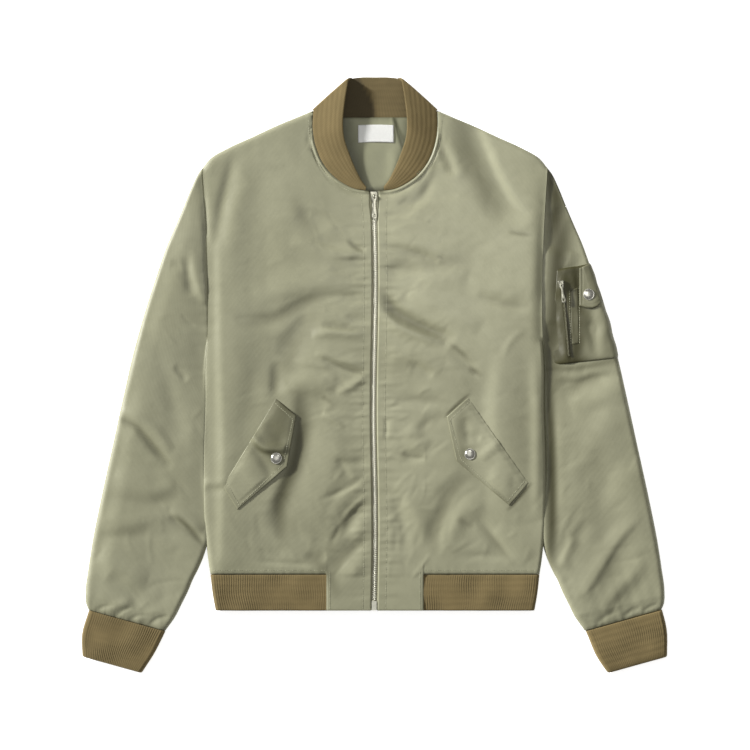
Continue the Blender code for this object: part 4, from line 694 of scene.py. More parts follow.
def woven(name, light, dark, spacing, roughness):
    """Plain-woven cloth with threads that far apart: an even grid of overs and unders."""
    made, place = finish(name, Roughness=roughness, Sheen_Weight=0.1)
    threads = add(made, "TexChecker", {"Vector": grain_of(made), "Scale": 1 / spacing}).outputs["Fac"]
    return feed(made, Base_Color=blend(made, noise(made, place, 60.0), dark, light),
                Normal=bump(made, threads, 0.3, 0.0002))


def plated_brass(name, light, dark, roughness):
    """Zip metal, tumbled smooth: bright, with faint clouds where fingers dull it."""
    made, place = finish(name, Metallic=1.0)
    clouds = noise(made, place, 320.0, 3.0)
    return feed(made, Base_Color=blend(made, clouds, dark, light),
                Roughness=spread(made, clouds, roughness - 0.08, roughness + 0.1))


def twisted_thread(name):
    """Polyester sewing thread, twisted from two yarns: a little brighter than the nylon."""
    made, place = finish(name, Roughness=0.5, Sheen_Weight=0.3)
    twist = bands(made, place, 0.0008, "DIAGONAL", 2.0)
    return feed(made, Base_Color=blend(made, twist, "#7A795E", "#9C9B80"))


def opal_floor():
    """A smooth white sheet lit from behind, so that no shadow shows on it."""
    made, place = finish("backlit opal sheet", Roughness=0.9, Emission_Color=linear("#FFFFFF"),
                         Emission_Strength=0.66)
    return feed(made, Base_Color=blend(made, noise(made, place, 400.0), "#F8F8F7", "#FCFCFB"))


# Each satin's last colour is its deep one, used for random mottling and for painted shade.
SHELL = satin_nylon("satin flight nylon, sage", "#8C8B73", "#828167", "#343217")
RIB = rib_knit("rib knit, olive brown")
LINING = satin_nylon("lining nylon", "#86866C", "#77775D", "#35351F")
LABEL_SATIN = woven("label satin, bare", "#CFCFCB", "#C6C6C1", 0.0005, 0.5)
TAPE = woven("woven zip tape", "#A09E86", "#8C8A72", 0.0006, 0.85)
METAL = plated_brass("nickel-plated brass", "#CCCABF", "#9E9C91", 0.28)
ZIP_METAL = plated_brass("nickel-plated brass, dulled by use", "#E4E2D2", "#C2C0AE", 0.44)
SLIDER_METAL = plated_brass("nickel-plated brass, worn dull", "#B2B0A0", "#767466", 0.34)
DARK_METAL = plated_brass("blackened brass", "#7D7B66", "#5F5D4C", 0.5)
THREAD = twisted_thread("polyester thread")


# ---------------- front and back
def zip_x(y):
    """The zip's line, which wanders a little."""
    return -0.6 + 1.1 * np.sin((np.asarray(y, float) - 40.0) / 52.0)


def zip_edge(y, side):
    """How far from the middle, on its own side, a front ends beside the zip. They part near the collar."""
    y = np.asarray(y, float)
    return zip_x(y) * side + ZIP_GAP + ZIP_SPREAD * np.clip((y - 205.0) / 20.0, 0, 1)


def patch(bottom, top, left, right, u, v):
    """Plan points of a four-sided piece from its four edges."""
    u, v = u[None, :, None], v[:, None, None]
    bottom, top, left, right = bottom[None], top[None], left[:, None], right[:, None]
    sides = (1 - v) * bottom + v * top + (1 - u) * left + u * right
    return sides - ((1 - u) * (1 - v) * bottom[:, :1] + u * (1 - v) * bottom[:, -1:]
                    + (1 - u) * v * top[:, :1] + u * v * top[:, -1:])


def turned_edge(plan, edges, reach, level, rise):
    """Points and outward normals of cloth that turns to its seam along rounded edges. rise < 0 turns up."""
    far, way, _ = inset(plan, edges[0])
    for edge in edges[1:]:
        other, other_way, _ = inset(plan, edge)
        way = np.where((other < far)[..., None], other_way, way)
        far = np.minimum(far, other)
    cosine = np.clip(1 - far / reach, 0, 1)
    sine = np.sqrt(1 - cosine**2)
    points = np.concatenate([plan, (level + rise * sine)[..., None]], axis=-1)
    normals = np.concatenate([way * (cosine / reach)[..., None], (sine / rise)[..., None]], axis=-1)
    return points, normals / np.linalg.norm(normals, axis=-1)[..., None]


FLAP_HOLD = 0.92  # of the creases' height taken by a flap
FLAP_REACH = (80.0, 30.0)  # along and across a flap


def under_flaps(points):
    """1 away from the pocket flaps, falling under them, where the cloth is held flat."""
    keep = np.ones(points.shape[:-1])
    for flap in FLAPS.values():
        middle = (np.array(flap.sewn_top) + flap.sewn_low + flap.free_top + flap.tip + flap.free_low) / 5
        run = np.array(flap.sewn_low) - flap.sewn_top
        run /= np.linalg.norm(run)
        away = points - middle
        along_flap, across = away @ run, away @ np.array([-run[1], run[0]])
        held = np.exp(-((along_flap / FLAP_REACH[0]) ** 4) - ((across / FLAP_REACH[1]) ** 4))
        keep *= 1 - FLAP_HOLD * held
    return keep


STEP = 2.6  # between rows and columns of the shells
FRONT_LENGTH = 560.0  # about the length of FRONT_RUN, by which its rows are spaced
FRONT_TURN = (0, 14, 28, 42, 56, 70, 80, 90)  # angles of the rows round a rolled edge
BACK_TURN = (0, 20, 40, 60, 75, 90)
BACK_STEP = 4.0
HELD_UP = 0.8  # of the way to the top: where sleeve and body hold each other's edges up
HELD_REACH = 14
HELD_Y = ((-240, -180, 255, 274), (0, 1, 1, 0))
GAPE_Y = {-1: 210, 1: 130}  # where the armhole of each side gapes
GAPE_REACH = 34
ZIP_REACH = 20  # how far beside the zip its wandering is felt
FRONT_STITCH_X = 11.0  # the line of stitches beside the zip, from its edge
NECK_STITCH = 5.0
HEM_STITCH = 5.5


def near_zip(x):
    """1 at the zip's edge, falling to 0 where its wandering is no longer felt."""
    return np.clip(1 - (x - ZIP_GAP) / ZIP_REACH, 0, 1)


def shoulder_points(xs, neck_x, reach):
    """Points of the shoulder seam over columns that start at xs on the hem, from neck_x to the side."""
    side_x, length = SIDE[-1][0], lengths(SHOULDER_LINE)[-1]
    return along(SHOULDER_LINE, np.interp(xs, (neck_x, side_x - reach, side_x), (0, 1 - reach / length, 1)))


def front_plan(side):
    """Plan points of one half of the front, with how many rows and columns the tab below the seam has."""
    side_x = SIDE[-1][0]
    hem_x = np.concatenate([
        ZIP_GAP + np.array((0, 0.25, 0.7, 1.3, 2.1, 3.0, 4.2)), np.arange(9.8, 20, 1.3),
        np.arange(21, TAB_X - 4, STEP), np.arange(TAB_X - 3, TAB_X + 3, 1.0),
        np.arange(TAB_X + 3.5, side_x - FRONT_ROUND - 1, STEP), side_x - turn(FRONT_ROUND, FRONT_TURN)])
    at_neck = hem_x <= NECK_HEM_X[-1]
    neck = smooth(NECK_FRONT, np.interp(hem_x[at_neck], NECK_HEM_X, range(len(NECK_HEM_X))))
    neck[:, 0] += (zip_edge(ZIP_TOP_Y, side) - ZIP_GAP) * near_zip(neck[:, 0])
    top = np.concatenate([neck, shoulder_points(hem_x[~at_neck], NECK_HEM_X[-1], FRONT_ROUND)])
    rows = along(FRONT_RUN, np.concatenate([np.arange(0, 1 - 12 / FRONT_LENGTH, STEP / FRONT_LENGTH),
                                            1 - turn(FRONT_ROUND / FRONT_LENGTH, FRONT_TURN)]))
    left = np.stack([zip_edge(rows[:, 0], side), rows[:, 0]], axis=1)
    right = np.stack([x_at(BODY_LINE, rows[:, 1]), rows[:, 1]], axis=1)
    hem_x = hem_x + (zip_edge(HEM_SEAM_Y, side) - ZIP_GAP) * near_zip(hem_x)
    bottom = np.stack([hem_x, np.full(len(hem_x), HEM_SEAM_Y)], axis=1)
    plan = patch(bottom, top, left, right, share(hem_x), share(rows[:, 0]))
    tab_y = HEM_Y + np.concatenate([(0, 0.3, 0.9, 1.8), np.arange(3.2, HEM_SEAM_Y - HEM_Y - 1, STEP)])
    tab = [np.stack([hem_x + (zip_edge(y, side) - hem_x[0]) * near_zip(hem_x), np.full(len(hem_x), y)],
                    axis=1) for y in tab_y]
    return np.concatenate([tab, plan]), len(tab_y), int((hem_x <= TAB_X + 0.01).sum())


def front_panel(name, side):
    """One half of the front, from the zip to the side seam, with the tab that reaches the hem."""
    plan, tab_rows, tab_columns = front_plan(side)
    base, normal = turned_edge(plan, (SHOULDER_LINE, SIDE_LINE), FRONT_ROUND - (3 if side > 0 else 0),
                               SIDE_SEAM + SEAM_GAP / 2, TOP - SIDE_SEAM - SEAM_GAP / 2)
    actual = plan * (side, 1)
    x, y = plan[..., 0], plan[..., 1]
    soft = normal[..., 2] ** 2
    neck_far, _, neck_at = inset(plan, NECK_LINE)
    arm_far, _, arm_at = inset(plan, ARMHOLE_LINE)
    zip_far = x - zip_edge(y, side)
    hem_far = np.where(x > TAB_X, np.abs(y - HEM_SEAM_Y), 99.0)
    tab_far = np.where(y < HEM_SEAM_Y, np.abs(x - TAB_X), 99.0)

    # The creases, then the broad forms under them, then the puckers that the seams and the zip draw.
    open_cloth = under_flaps(actual)
    small = strewn(15 + side, 190, side, (6, 218), (-262, 320),
                   ((-262, -150, 0, 150, 320), (60, 35, 10, 15, 50)))
    beside_zip = strewn(25 + side, 60, side, (10, 70), (-255, 235), ((-255, -120, 0, 235), (24, 14, 2, 6)),
                        0.9, (1.8, 3.2))
    shape = (1.1 * creased(actual, BODY_CREASES) + 0.5 * creased(actual, small)
             + 0.6 * creased(actual, beside_zip) + 0.6 * rumple(actual, 11 + side, 90, 220)
             + 0.10 * rumple(actual, 21 + side, 26, 50)) * open_cloth
    shape = 6.0 * np.tanh((shape + creased(actual, BODY_FORMS) * (0.5 + 0.5 * open_cloth)) / 6.0)
    shape *= np.where(y < HEM_SEAM_Y, 0.45, 1.0)
    past_stitch = np.clip((zip_far - FRONT_STITCH_X + 5) / 16, 0, 1)
    shape = shape * (0.5 + 0.5 * past_stitch)
    shape += 0.75 * ripple(y, 31 + side, (9, 14, 23)) * bell(zip_far - 14, 15)
    shape += 0.30 * ripple(y, 33 + side, (6, 9)) * bell(zip_far - 6, 6)
    shape *= 1 - 0.8 * bell(hem_far, 10)
    shape += 0.45 * ripple(x, 35 + side, (5, 8, 13)) * np.exp(-hem_far / 7)
    shape += 0.30 * ripple(neck_at, 37 + side, (7, 12, 19)) * np.exp(-neck_far / 8)
    shape += 0.45 * ripple(arm_at, 39 + side, (13, 21, 34)) * np.exp(-arm_far / 12)
    shape *= soft * (1 - 0.8 * bell(arm_far, 8))
    slit = bell(y - GAPE_Y[side], GAPE_REACH, 4)
    if side < 0:
        side_far = np.minimum(arm_far, inset(plan, SIDE_LINE)[0])
        held_up = HELD_UP * (1 - slit) * np.interp(y, *HELD_Y) * bell(side_far, HELD_REACH)
        base[..., 2] += held_up * (TOP - base[..., 2])

    # Seams and lines of stitches.
    dips = (valley(arm_far, 0.3 + 1.1 * slit, 4.0) + valley(neck_far, 0.6, 1.2)
            + valley(neck_far - NECK_STITCH, 1.4, 1.5) - valley(neck_far - 2.7, 0.8, 1.6)
            + valley(zip_far - FRONT_STITCH_X, 0.12, 1.4) + valley(hem_far, 0.9, 2.2)
            - valley(hem_far - 4.5, 0.45, 2.4) + valley(hem_far - HEM_STITCH, 0.3, 1.2)
            + valley(tab_far, 0.5, 1.5) + valley(tab_far - 4.5, 0.35, 1.0) * (x < TAB_X))
    dips -= 2.2 * rim(zip_far, 1.8) + 1.4 * rim(y - HEM_Y, 1.8)
    outer = base + normal * (shape + dips * soft)[..., None]
    inner = outer - normal * CLOTH
    # The seam value darkens the colour: a little along the neck and hem seams, and painted shade from
    # BODY_SHADES and in the notch at the zip's top.
    seam = np.clip(0.3 * np.exp(-neck_far / 1.5) + 0.1 * np.exp(-hem_far / 2.0), 0, 1)
    seam = np.maximum(seam, np.clip(creased(actual, BODY_SHADES), 0, 1))
    seam = np.maximum(seam, 0.95 * np.exp(-((zip_far / 8) ** 4) - ((neck_far / 2.6) ** 2)))
    for points in (outer, inner):
        points[..., 0] *= side
    return cloth(name, outer, inner, SHELL, seam=seam,
                 keep=lambda i, j: (i >= tab_rows) | (j < tab_columns - 1))


def back_panel():
    """The whole back, flat on the ground, turned up to the side and shoulder seams."""
    side_x, neck_x = SIDE[-1][0], 100
    half = np.concatenate([np.arange(0, side_x - BACK_ROUND - 1, BACK_STEP),
                           side_x - turn(BACK_ROUND, BACK_TURN)])
    at_neck = half <= neck_x
    neck = smooth(NECK_BACK, np.interp(half[at_neck], (0, 44, 72, neck_x), range(4)))
    half_top = np.concatenate([neck, shoulder_points(half[~at_neck], neck_x, BACK_ROUND)])
    mirror = np.array([-1.0, 1.0])
    top = np.concatenate([half_top[:0:-1] * mirror, half_top])
    hem_x = np.concatenate([-half[:0:-1], half])
    bottom = np.stack([hem_x, np.full(len(hem_x), HEM_SEAM_Y)], axis=1)
    height = SHOULDER[-1][1] - HEM_SEAM_Y
    y = HEM_SEAM_Y + np.concatenate([np.arange(0, height - BACK_ROUND - 1, BACK_STEP),
                                     height - turn(BACK_ROUND, BACK_TURN)])
    right = np.stack([x_at(BODY_LINE, y), y], axis=1)
    plan = patch(bottom, top, right * mirror, right, share(hem_x), share(y))
    half_plan = np.abs(plan) * (1, 0) + plan * (0, 1)
    base, normal = turned_edge(half_plan, (SHOULDER_LINE, SIDE_LINE), BACK_ROUND, SIDE_SEAM - SEAM_GAP / 2,
                               -(SIDE_SEAM - SEAM_GAP / 2))
    lifted = 0.5 * np.clip(rumple(plan, 5, 60, 150), 0, 1.5) + 0.2 * np.clip(rumple(plan, 6, 20, 40), 0, 1.5)
    way = np.where(plan[..., 0] < 0, -1.0, 1.0)
    for points in (base, normal):
        points[..., 0] *= way
    outer = base - normal * (lifted * normal[..., 2] ** 2)[..., None]
    return cloth("back", outer, outer - normal * CLOTH, SHELL, seam=0.0)


# ---------------- tubes laid flat
def ring(half, top, reach, counts, open_half=0.0):
    """Section of a tube laid flat, from open_half on its top over the far edge, underneath and back.

    Gives distance from its middle, level, the way out of it (two numbers) and how much it faces up.
    """
    middle = top / 2
    flat = half - reach
    on_top = np.linspace(open_half, flat, counts[0] + 1)
    below = np.linspace(flat, -flat, counts[2] + 1)
    angles = np.linspace(np.pi / 2, -np.pi / 2, counts[1] + 1)[1:-1]
    cosine, sine = np.cos(angles), np.sin(angles)
    across = np.concatenate([on_top, flat + reach * cosine, below, -flat - reach * cosine[::-1],
                             -on_top[::-1]])
    up = np.concatenate([np.ones(len(on_top)), sine, -np.ones(len(below)), sine[::-1], np.ones(len(on_top))])
    out = np.concatenate([0 * on_top, cosine, 0 * below, -cosine[::-1], 0 * on_top])
    level = middle + middle * up
    slope = np.stack([out / reach, up / middle], axis=1)
    slope /= np.linalg.norm(slope, axis=1)[:, None]
    if open_half == 0:
        return [part[:-1] for part in (across, level, slope, np.clip(up, 0, 1) ** 2)]
    return across, level, slope, np.clip(up, 0, 1) ** 2


# How many columns a tube has on its top, round each edge and below.
SLEEVE_COUNTS = (30, 12, 22)
CUFF_COUNTS = (93, 24, 186)
HEM_COUNTS = (288, 24, 816)
COLUMNS_PER_RIB = 6
RIB_ROUND = 5.5


def sleeve(name, side):
    """The whole sleeve, a tube laid flat, drawn into its cuff by soft pleats."""
    at = np.concatenate([np.linspace(0, 3, 20)[:-1], np.linspace(3, len(SECTIONS) - 1, 190)])
    table = np.array(SECTIONS, float)
    rows = np.stack([np.interp(at, range(len(table)), column) for column in table.T], axis=1)
    outer, normals, weights = [], [], []
    for inner_y, outer_y, top, _ in rows:
        start, end = point_at(INNER_LINE, inner_y), point_at(OUTER_LINE, outer_y)
        run = end - start
        half = np.linalg.norm(run) / 2
        across, level, way, facing = ring(half, top, FRONT_ROUND, SLEEVE_COUNTS)
        plan = (start + end) / 2 + across[:, None] * run / (2 * half)
        outer.append(np.column_stack([plan, level]))
        normals.append(np.column_stack([way[:, :1] * run / (2 * half), way[:, 1]]))
        weights.append(facing)
    outer, normals, weights = np.array(outer), np.array(normals), np.array(weights)
    rows_in, from_cuff = at[:, None], (at[-1] - at)[:, None]
    y = outer[..., 1].copy()

    # The sleeve's top meets the body's line, its seam reaching into the body's edge.
    straight = np.interp(y, (UNDERARM_Y, ARM_TOP_Y), (ARMHOLE[-1][0], ARMHOLE[0][0]))
    outer[..., 0] += (x_at(BODY_LINE, y) - straight) * np.clip(1 - rows_in / 4, 0, 1)
    outer[..., 0] -= 0.4 * np.clip(1 - rows_in, 0, 1)
    arm_far, _, arm_at = inset(outer[..., :2], ARMHOLE_LINE)
    inner_far = inset(outer[..., :2], INNER_LINE)[0]
    if side < 0:
        held_up = 0.85 * HELD_UP * np.interp(y, *HELD_Y) * bell(inner_far, HELD_REACH)
        outer[..., 2] += held_up * (TOP - outer[..., 2]) * np.clip(outer[..., 2] / SIDE_SEAM, 0, 1)
    inner_far = np.minimum(arm_far, inner_far)

    plan = outer[..., :2] * (side, 1)
    fraction = np.linspace(0, 1, outer.shape[1])[None]
    gather = np.interp(at, range(len(table)), table[:, 3])[:, None]
    top_at = np.linalg.norm(outer[..., :2] - outer[:, :1, :2], axis=-1)
    small = strewn(55 + side, 120, side, (225, 375), (-330, 260), ((-330, -200, 0, 260), (20, 30, 20, 60)))
    shape = 1.1 * creased(plan, SLEEVE_CREASES) + 0.45 * creased(plan, small) + creased(plan, SLEEVE_FORMS) \
        + 0.6 * rumple(plan, 51 + side, 70, 160) + 0.10 * rumple(plan, 61 + side, 22, 44)
    shape = 5.0 * np.tanh(shape / 5.0)
    pleats = ripple(top_at + 40 * (outer[..., 0] > outer[:, :1, 0]), 71 + side, (16, 25, 37))
    shape = shape + 0.3 * gather * pleats
    shape += 0.5 * ripple(top_at + 60 * fraction, 73 + side, (6, 9, 14)) * np.exp(-from_cuff / 0.35)
    shape += 0.6 * ripple(arm_at, 75 + side, (14, 22, 36)) * np.exp(-arm_far / 12)

    # It dips beside the body: along the armhole on the wearer's left, all down its inner edge on the right.
    if side > 0:
        lower = valley(arm_far, 1.6, 32) * (rows_in < 7)
    else:
        lower = valley(inner_far, 1.2, 18) * np.interp(y, *HELD_Y)
    gapes = 1 - 0.9 * bell(y - GAPE_Y[-1], GAPE_REACH, 4) * (side < 0)
    shape = shape * (1 - 0.8 * bell(rows_in, 0.35)) + lower * gapes
    shape = np.maximum(shape, -4.8) * weights + valley(rows_in - at[-1], 1.0, 0.12) * weights
    # The seam value darkens the colour: a little at the cuff's seam, and painted shade beside the body and
    # in the folds of SLEEVE_SHADES.
    seam = np.clip(np.exp(-(from_cuff / 0.15)), 0, 1) * 0.4 * np.ones_like(inner_far)
    outer = outer + normals * shape[..., None]
    inner = outer - normals * CLOTH
    painted_crook_shade = 0.36 if side > 0 else 0.08  # painted shade on the sleeve beside the body, where the body's edge shades it
    above_cuff = np.interp(outer[..., 1], (-260, -180), (0, 1))
    seam = np.maximum(seam, painted_crook_shade * bell(inner_far, 28) * above_cuff)
    seam = np.maximum(seam, np.clip(creased(plan, SLEEVE_SHADES), 0, 1))
    for points in (outer, inner):
        points[..., 0] *= side
    return cloth(name, outer, inner, SHELL, closed=True, seam=seam)


def ribbed(count):
    """Height of knit ribs over a run of columns, 0 to 1."""
    return np.sqrt(0.5 - 0.5 * np.cos(2 * np.pi * (np.arange(count) / COLUMNS_PER_RIB)))


def knit_tube(name, rings, counts, place, open_half=0.0):
    """Doubled rib knit as a tube laid flat. place puts points and ways of one ring in the frame."""
    outer, inner, reliefs = [], [], []
    for k, (half, top) in enumerate(rings):
        across, level, way, facing = ring(half, top, RIB_ROUND, counts, open_half)
        edge = 1 - 0.35 * (k in (0, len(rings) - 1))
        points, ways = place(k, across, level, way)
        crisp = 0.5 + 0.45 * rumple(points[:, :2], 83, 24, 70)  # worn softer in patches
        crisp = np.clip(crisp + 0.6 * bell(points[:, 0] + 190, 36), 0.12, 1.0)
        relief = 1 - crisp * (1 - ribbed(len(across)))
        lift = RIB_RELIEF * relief * edge - RIB_RELIEF * (facing < 0.01) * (1 - facing)
        lift += 0.45 * rumple(points[:, :2], 84, 26, 80) * facing
        outer.append(points + ways * lift[:, None])
        inner.append(points - ways * RIB_WALL)
        reliefs.append(relief)
    return cloth(name, np.array(outer), np.array(inner), RIB, closed=open_half == 0,
                 relief=np.array(reliefs))


def cuff(name, side):
    """The rib cuff, narrowing from the sleeve's end."""
    last = SECTIONS[-1]
    start, end = point_at(INNER_LINE, last.inner_y), point_at(OUTER_LINE, last.outer_y)
    seam = (end - start) / np.linalg.norm(end - start)
    down = np.array([seam[1], -seam[0]])
    middle = (start + end) / 2
    at = np.array((0, 0.05, 0.15, 0.35, 0.6, 0.85, 1.1, 1.35, 1.6, 1.8, 1.93, 2.0))
    rings = smooth(CUFF_RINGS, at)
    wander = 0.8 * np.sin(at * 2.2 + side)
    sway = 0.7 * np.sin(at * 3.4)

    def place(k, across, level, way):
        row = rings[k]
        swung = across + sway[k] * np.sin(across / 11.0) * (np.abs(across) < row[1] / 2 - 6)
        plan = middle + down * row[0] + seam * (row[2] + wander[k]) + swung[:, None] * seam
        points = np.column_stack([plan, level]) * (side, 1, 1)
        return points, np.column_stack([way[:, :1] * seam, way[:, 1]]) * (side, 1, 1)

    edge = np.where(at == 2.0, 0.8, 0.0)
    sizes = [(row[1] / 2 - e, row[3] - 2 * e) for row, e in zip(rings, edge)]
    return knit_tube(name, sizes, CUFF_COUNTS, place)


def hem_band():
    """One band of rib from the tab beside the zip, round the back, to the tab on the other side."""
    at = np.array((0, 0.06, 0.2, 0.5, 0.8, 1.1, 1.4, 1.7, 1.92, 2.0))
    sides = smooth([(*xy, top) for xy, top in zip(HEM_SIDE, HEM_TOPS)], at)

    def place(k, across, level, way):
        y = np.full(len(across), sides[k, 1])
        sway = 0.9 * np.sin(3.1 * at[k] + across / 37.0)
        sway = sway * np.clip((sides[k, 0] - 8 - np.abs(across)) / 10, 0, 1)
        sway *= np.clip((np.abs(across) - TAB_X - 1) / 6, 0, 1)
        ways = np.column_stack([way[:, 0], 0 * across, way[:, 1]])
        return np.column_stack([across + sway, y, level]), ways

    return knit_tube("hem_band", [(x, top) for x, _, top in sides], HEM_COUNTS, place, TAB_X - 0.4)


def collar():
    """The rib band at the neck: its back lies face down, its front bands roll over from the sides."""
    lower, upper = COLLAR_WALL / 2, COLLAR_TOP - COLLAR_WALL / 2

    def run(stations):
        fine = smooth(stations, np.linspace(0, len(stations) - 1, 160))
        steps = lengths((fine[:, :2] + fine[:, 2:4]) / 2)
        at = np.linspace(0, steps[-1], round(steps[-1] / RIB_PITCH) * COLUMNS_PER_RIB)
        return np.stack([np.interp(at, steps, column) for column in fine.T], axis=1)

    half = [(x0, y0, upper, x1, y1, upper + rise, 0.0, 0.0, 1.0)
            for x0, y0, x1, y1, rise in run(COLLAR_FRONT)[:0:-1]]
    over, under = np.array(COLLAR_FRONT[0]), np.array(COLLAR_BACK[-1])
    line = (over + under)[2:4] - (over + under)[:2]
    out = np.array([line[1], -line[0]]) / np.linalg.norm(line)
    for angle in np.linspace(np.pi / 2, -np.pi / 2, 30):
        row = []
        for k, high, low in ((0, upper, lower), (2, upper + over[4], lower + under[4])):
            reach, upward = (high - low) / 2, (1 + np.sin(angle)) / 2
            bulge = out * min(reach, 1.6) * np.cos(angle)
            row += [*(upward * over[k:k + 2] + (1 - upward) * under[k:k + 2] + bulge),
                    (high + low) / 2 + reach * np.sin(angle)]
        half.append((*row, *(out * np.cos(angle)), np.sin(angle)))
    half += [(x0, y0, lower, x1, y1, lower + rise, 0.0, 0.0, -1.0)
             for x0, y0, x1, y1, rise in run(COLLAR_BACK)[-2::-1]]
    half = np.array(half)
    other = half[-2::-1].copy()
    other[:, (0, 3, 6)] *= -1
    columns = np.concatenate([half, other])
    normal = columns[:, 6:9]
    on_top = np.clip(normal[:, 2], 0, 1)
    relief = 0.7 + 0.3 * ribbed(len(columns))
    parts = np.array((0, 0.03, 0.08, 0.2, 0.35, 0.5, 0.65, 0.78, 0.88, 0.94, 0.975, 0.993, 1.0))
    outer, inner, shades = [], [], []
    for part in parts:
        centre = columns[:, :3] * (1 - part) + columns[:, 3:6] * part
        bow = 0.8 * np.sin(np.pi * part) * on_top
        folded = np.sqrt(np.clip(1 - ((part - 0.9) / 0.1) ** 2, 0.02, 1)) if part > 0.9 else 1.0
        thick = (COLLAR_WALL / 2 - 0.25) * folded
        ribs = 0.2 * RIB_RELIEF * relief * folded
        outer.append(centre + normal * (thick + bow + ribs * (normal[:, 2] > -0.9))[:, None])
        inner.append(centre - normal * (thick - bow + ribs * (normal[:, 2] < 0.9))[:, None])
        # Painted shade on the back of the band, which lies in the neck's shade, most behind the wearer's
        # right band.
        shade_x = np.interp(centre[:, 1], (342, 356, 393), (2, 2, -18))
        behind = smooth_step(np.clip((shade_x - centre[:, 0]) / 5, 0, 1))
        shades.append(np.where(normal[:, 2] < -0.5, 0.32 + 0.5 * behind, 0.05))
    return cloth("collar_band", np.array(outer), np.array(inner), RIB,
                 relief=np.tile(relief, (len(parts), 1)), seam=np.array(shades))


def neck_lining():
    """The lining of the back, seen inside the neck, with the creases that the collar's seam draws."""
    xs = np.arange(-LINING_X, LINING_X + 0.1, 2.0)
    ys = np.arange(LINING_Y[0], LINING_Y[1] + 0.1, 2.05)
    plan = np.stack(np.meshgrid(xs, ys), axis=-1)
    folds = creased(plan, creases(
        (1.1, 11, 0.3, ((-6, 312), (-12, 280), (-6, 250), (0, 228))),
        (-0.5, 9, 0.0, ((16, 306), (14, 280), (10, 256))),
        (1.4, 2.6, 0.0, ((23, 342), (27, 330), (31, 320), (38, 306))),
        (0.6, 6, 0.0, ((22, 300), (26, 280), (18, 252))),
        (-0.5, 4, 0.0, ((-40, 336), (-30, 322), (-26, 308)))))
    folds += 0.3 * ripple(plan[..., 0], 81, (6, 9, 13)) * np.exp(-(LINING_Y[1] - plan[..., 1]) / 10)
    low = WALL + SEAM_GAP
    over = np.concatenate([plan, (low + 0.9 + np.clip(folds, -0.5, 1.6))[..., None]], axis=-1)
    # Painted shade in the seam value: the wearer's right band's shadow, creases beside the label, a band
    # under the collar's seam and the notch between the collar's ends.
    shade = creased(plan, creases(
        (1.0, 3.0, 0.0, ((20, 358), (25, 338), (28, 326), (34, 308), (40, 290))),
        (0.45, 9, 0.0, ((34, 360), (40, 320), (38, 280), (20, 230))),
        (0.70, 13, 0.0, ((-44, 400), (-38, 310), (-24, 270), (-10, 200)))))
    shade = np.maximum(shade, 0.6 * np.exp(-(LINING_Y[1] - plan[..., 1]) / 2.5))
    shade = np.maximum(shade, 0.95 * bell(plan[..., 1] - 243.0, 5.0))
    return cloth("neck_lining_panel", over, over - (0, 0, LINING_WALL), LINING, seam=np.clip(shade, 0, 1))


def neck_label():
    """A bare label, bowed a little, sewn to the lining."""
    x, y, width, height = LABEL
    us, vs = np.linspace(-0.5, 0.5, 32), np.linspace(-0.5, 0.5, 16)
    u, v = np.meshgrid(us, vs)
    level = LABEL_LEVEL + 0.25 * np.sin(3.0 * u + 1) + 0.1 * np.cos(6 * v)
    over = np.stack([x + u * width, y + v * height + 0.4 * np.cos(4 * u), level], axis=-1)
    return cloth("bare_label", over, over - (0, 0, LABEL_WALL), LABEL_SATIN)


# ---------------- zip
def tape(name, side):
    """The woven tape beside the chain, under the front's edge."""
    ys = np.arange(HEM_Y + 1, ZIP_TOP_Y - 0.5, 6.0)
    across = np.linspace(0.3, TAPE_X, 6)
    plan = np.array([[(zip_x(y) + side * a, y) for a in across] for y in ys])
    over = np.concatenate([plan, np.full((*plan.shape[:2], 1), TAPE_TOP)], axis=-1)
    return cloth(name, over, over - (0, 0, TAPE_WALL), TAPE)


def deselect():
    """Object mode with nothing selected."""
    if bpy.context.object and bpy.context.object.mode != "OBJECT":
        bpy.ops.object.mode_set(mode="OBJECT")
    bpy.ops.object.select_all(action="DESELECT")


def choose(piece):
    """Only this piece selected and active."""
    deselect()
    piece.select_set(True)
    bpy.context.view_layer.objects.active = piece


def apply(piece, smooth_angle=0.6):
    """Modifiers and place into the mesh, round faces smooth."""
    choose(piece)
    for modifier in list(piece.modifiers):
        bpy.ops.object.modifier_apply(modifier=modifier.name)
    bpy.ops.object.transform_apply(location=True, rotation=True, scale=True)
    bpy.ops.object.shade_smooth_by_angle(angle=smooth_angle)
    return piece


def bevelled(piece, width, segments=2):
    """A piece with a rounding, still to be applied, on its sharp edges."""
    edge = piece.modifiers.new("edge", "BEVEL")
    edge.width, edge.segments, edge.limit_method, edge.angle_limit = width * MM, segments, "ANGLE", 0.6
    return piece


def select_faces(piece, chosen):
    """Edit mode with only the chosen faces selected."""
    bpy.ops.object.mode_set(mode="EDIT")
    bpy.ops.mesh.select_all(action="DESELECT")
    bpy.ops.object.mode_set(mode="OBJECT")
    for face in piece.data.polygons:
        face.select = chosen(face)
    bpy.ops.object.mode_set(mode="EDIT")


def zip_tooth():
    """One tooth, along +X from the middle of the chain, its head rounded."""
    deselect()
    bpy.ops.mesh.primitive_cube_add(size=1, location=(0.9 * MM, 0, 0), scale=[s * MM for s in TOOTH_SIZE])
    piece = bpy.context.object
    select_faces(piece, lambda face: face.normal.x < -0.5)
    bpy.ops.transform.resize(value=(1, 1.3, 0.8))
    bpy.ops.object.mode_set(mode="OBJECT")
    return apply(bevelled(piece, 0.3, 1), 0.9)


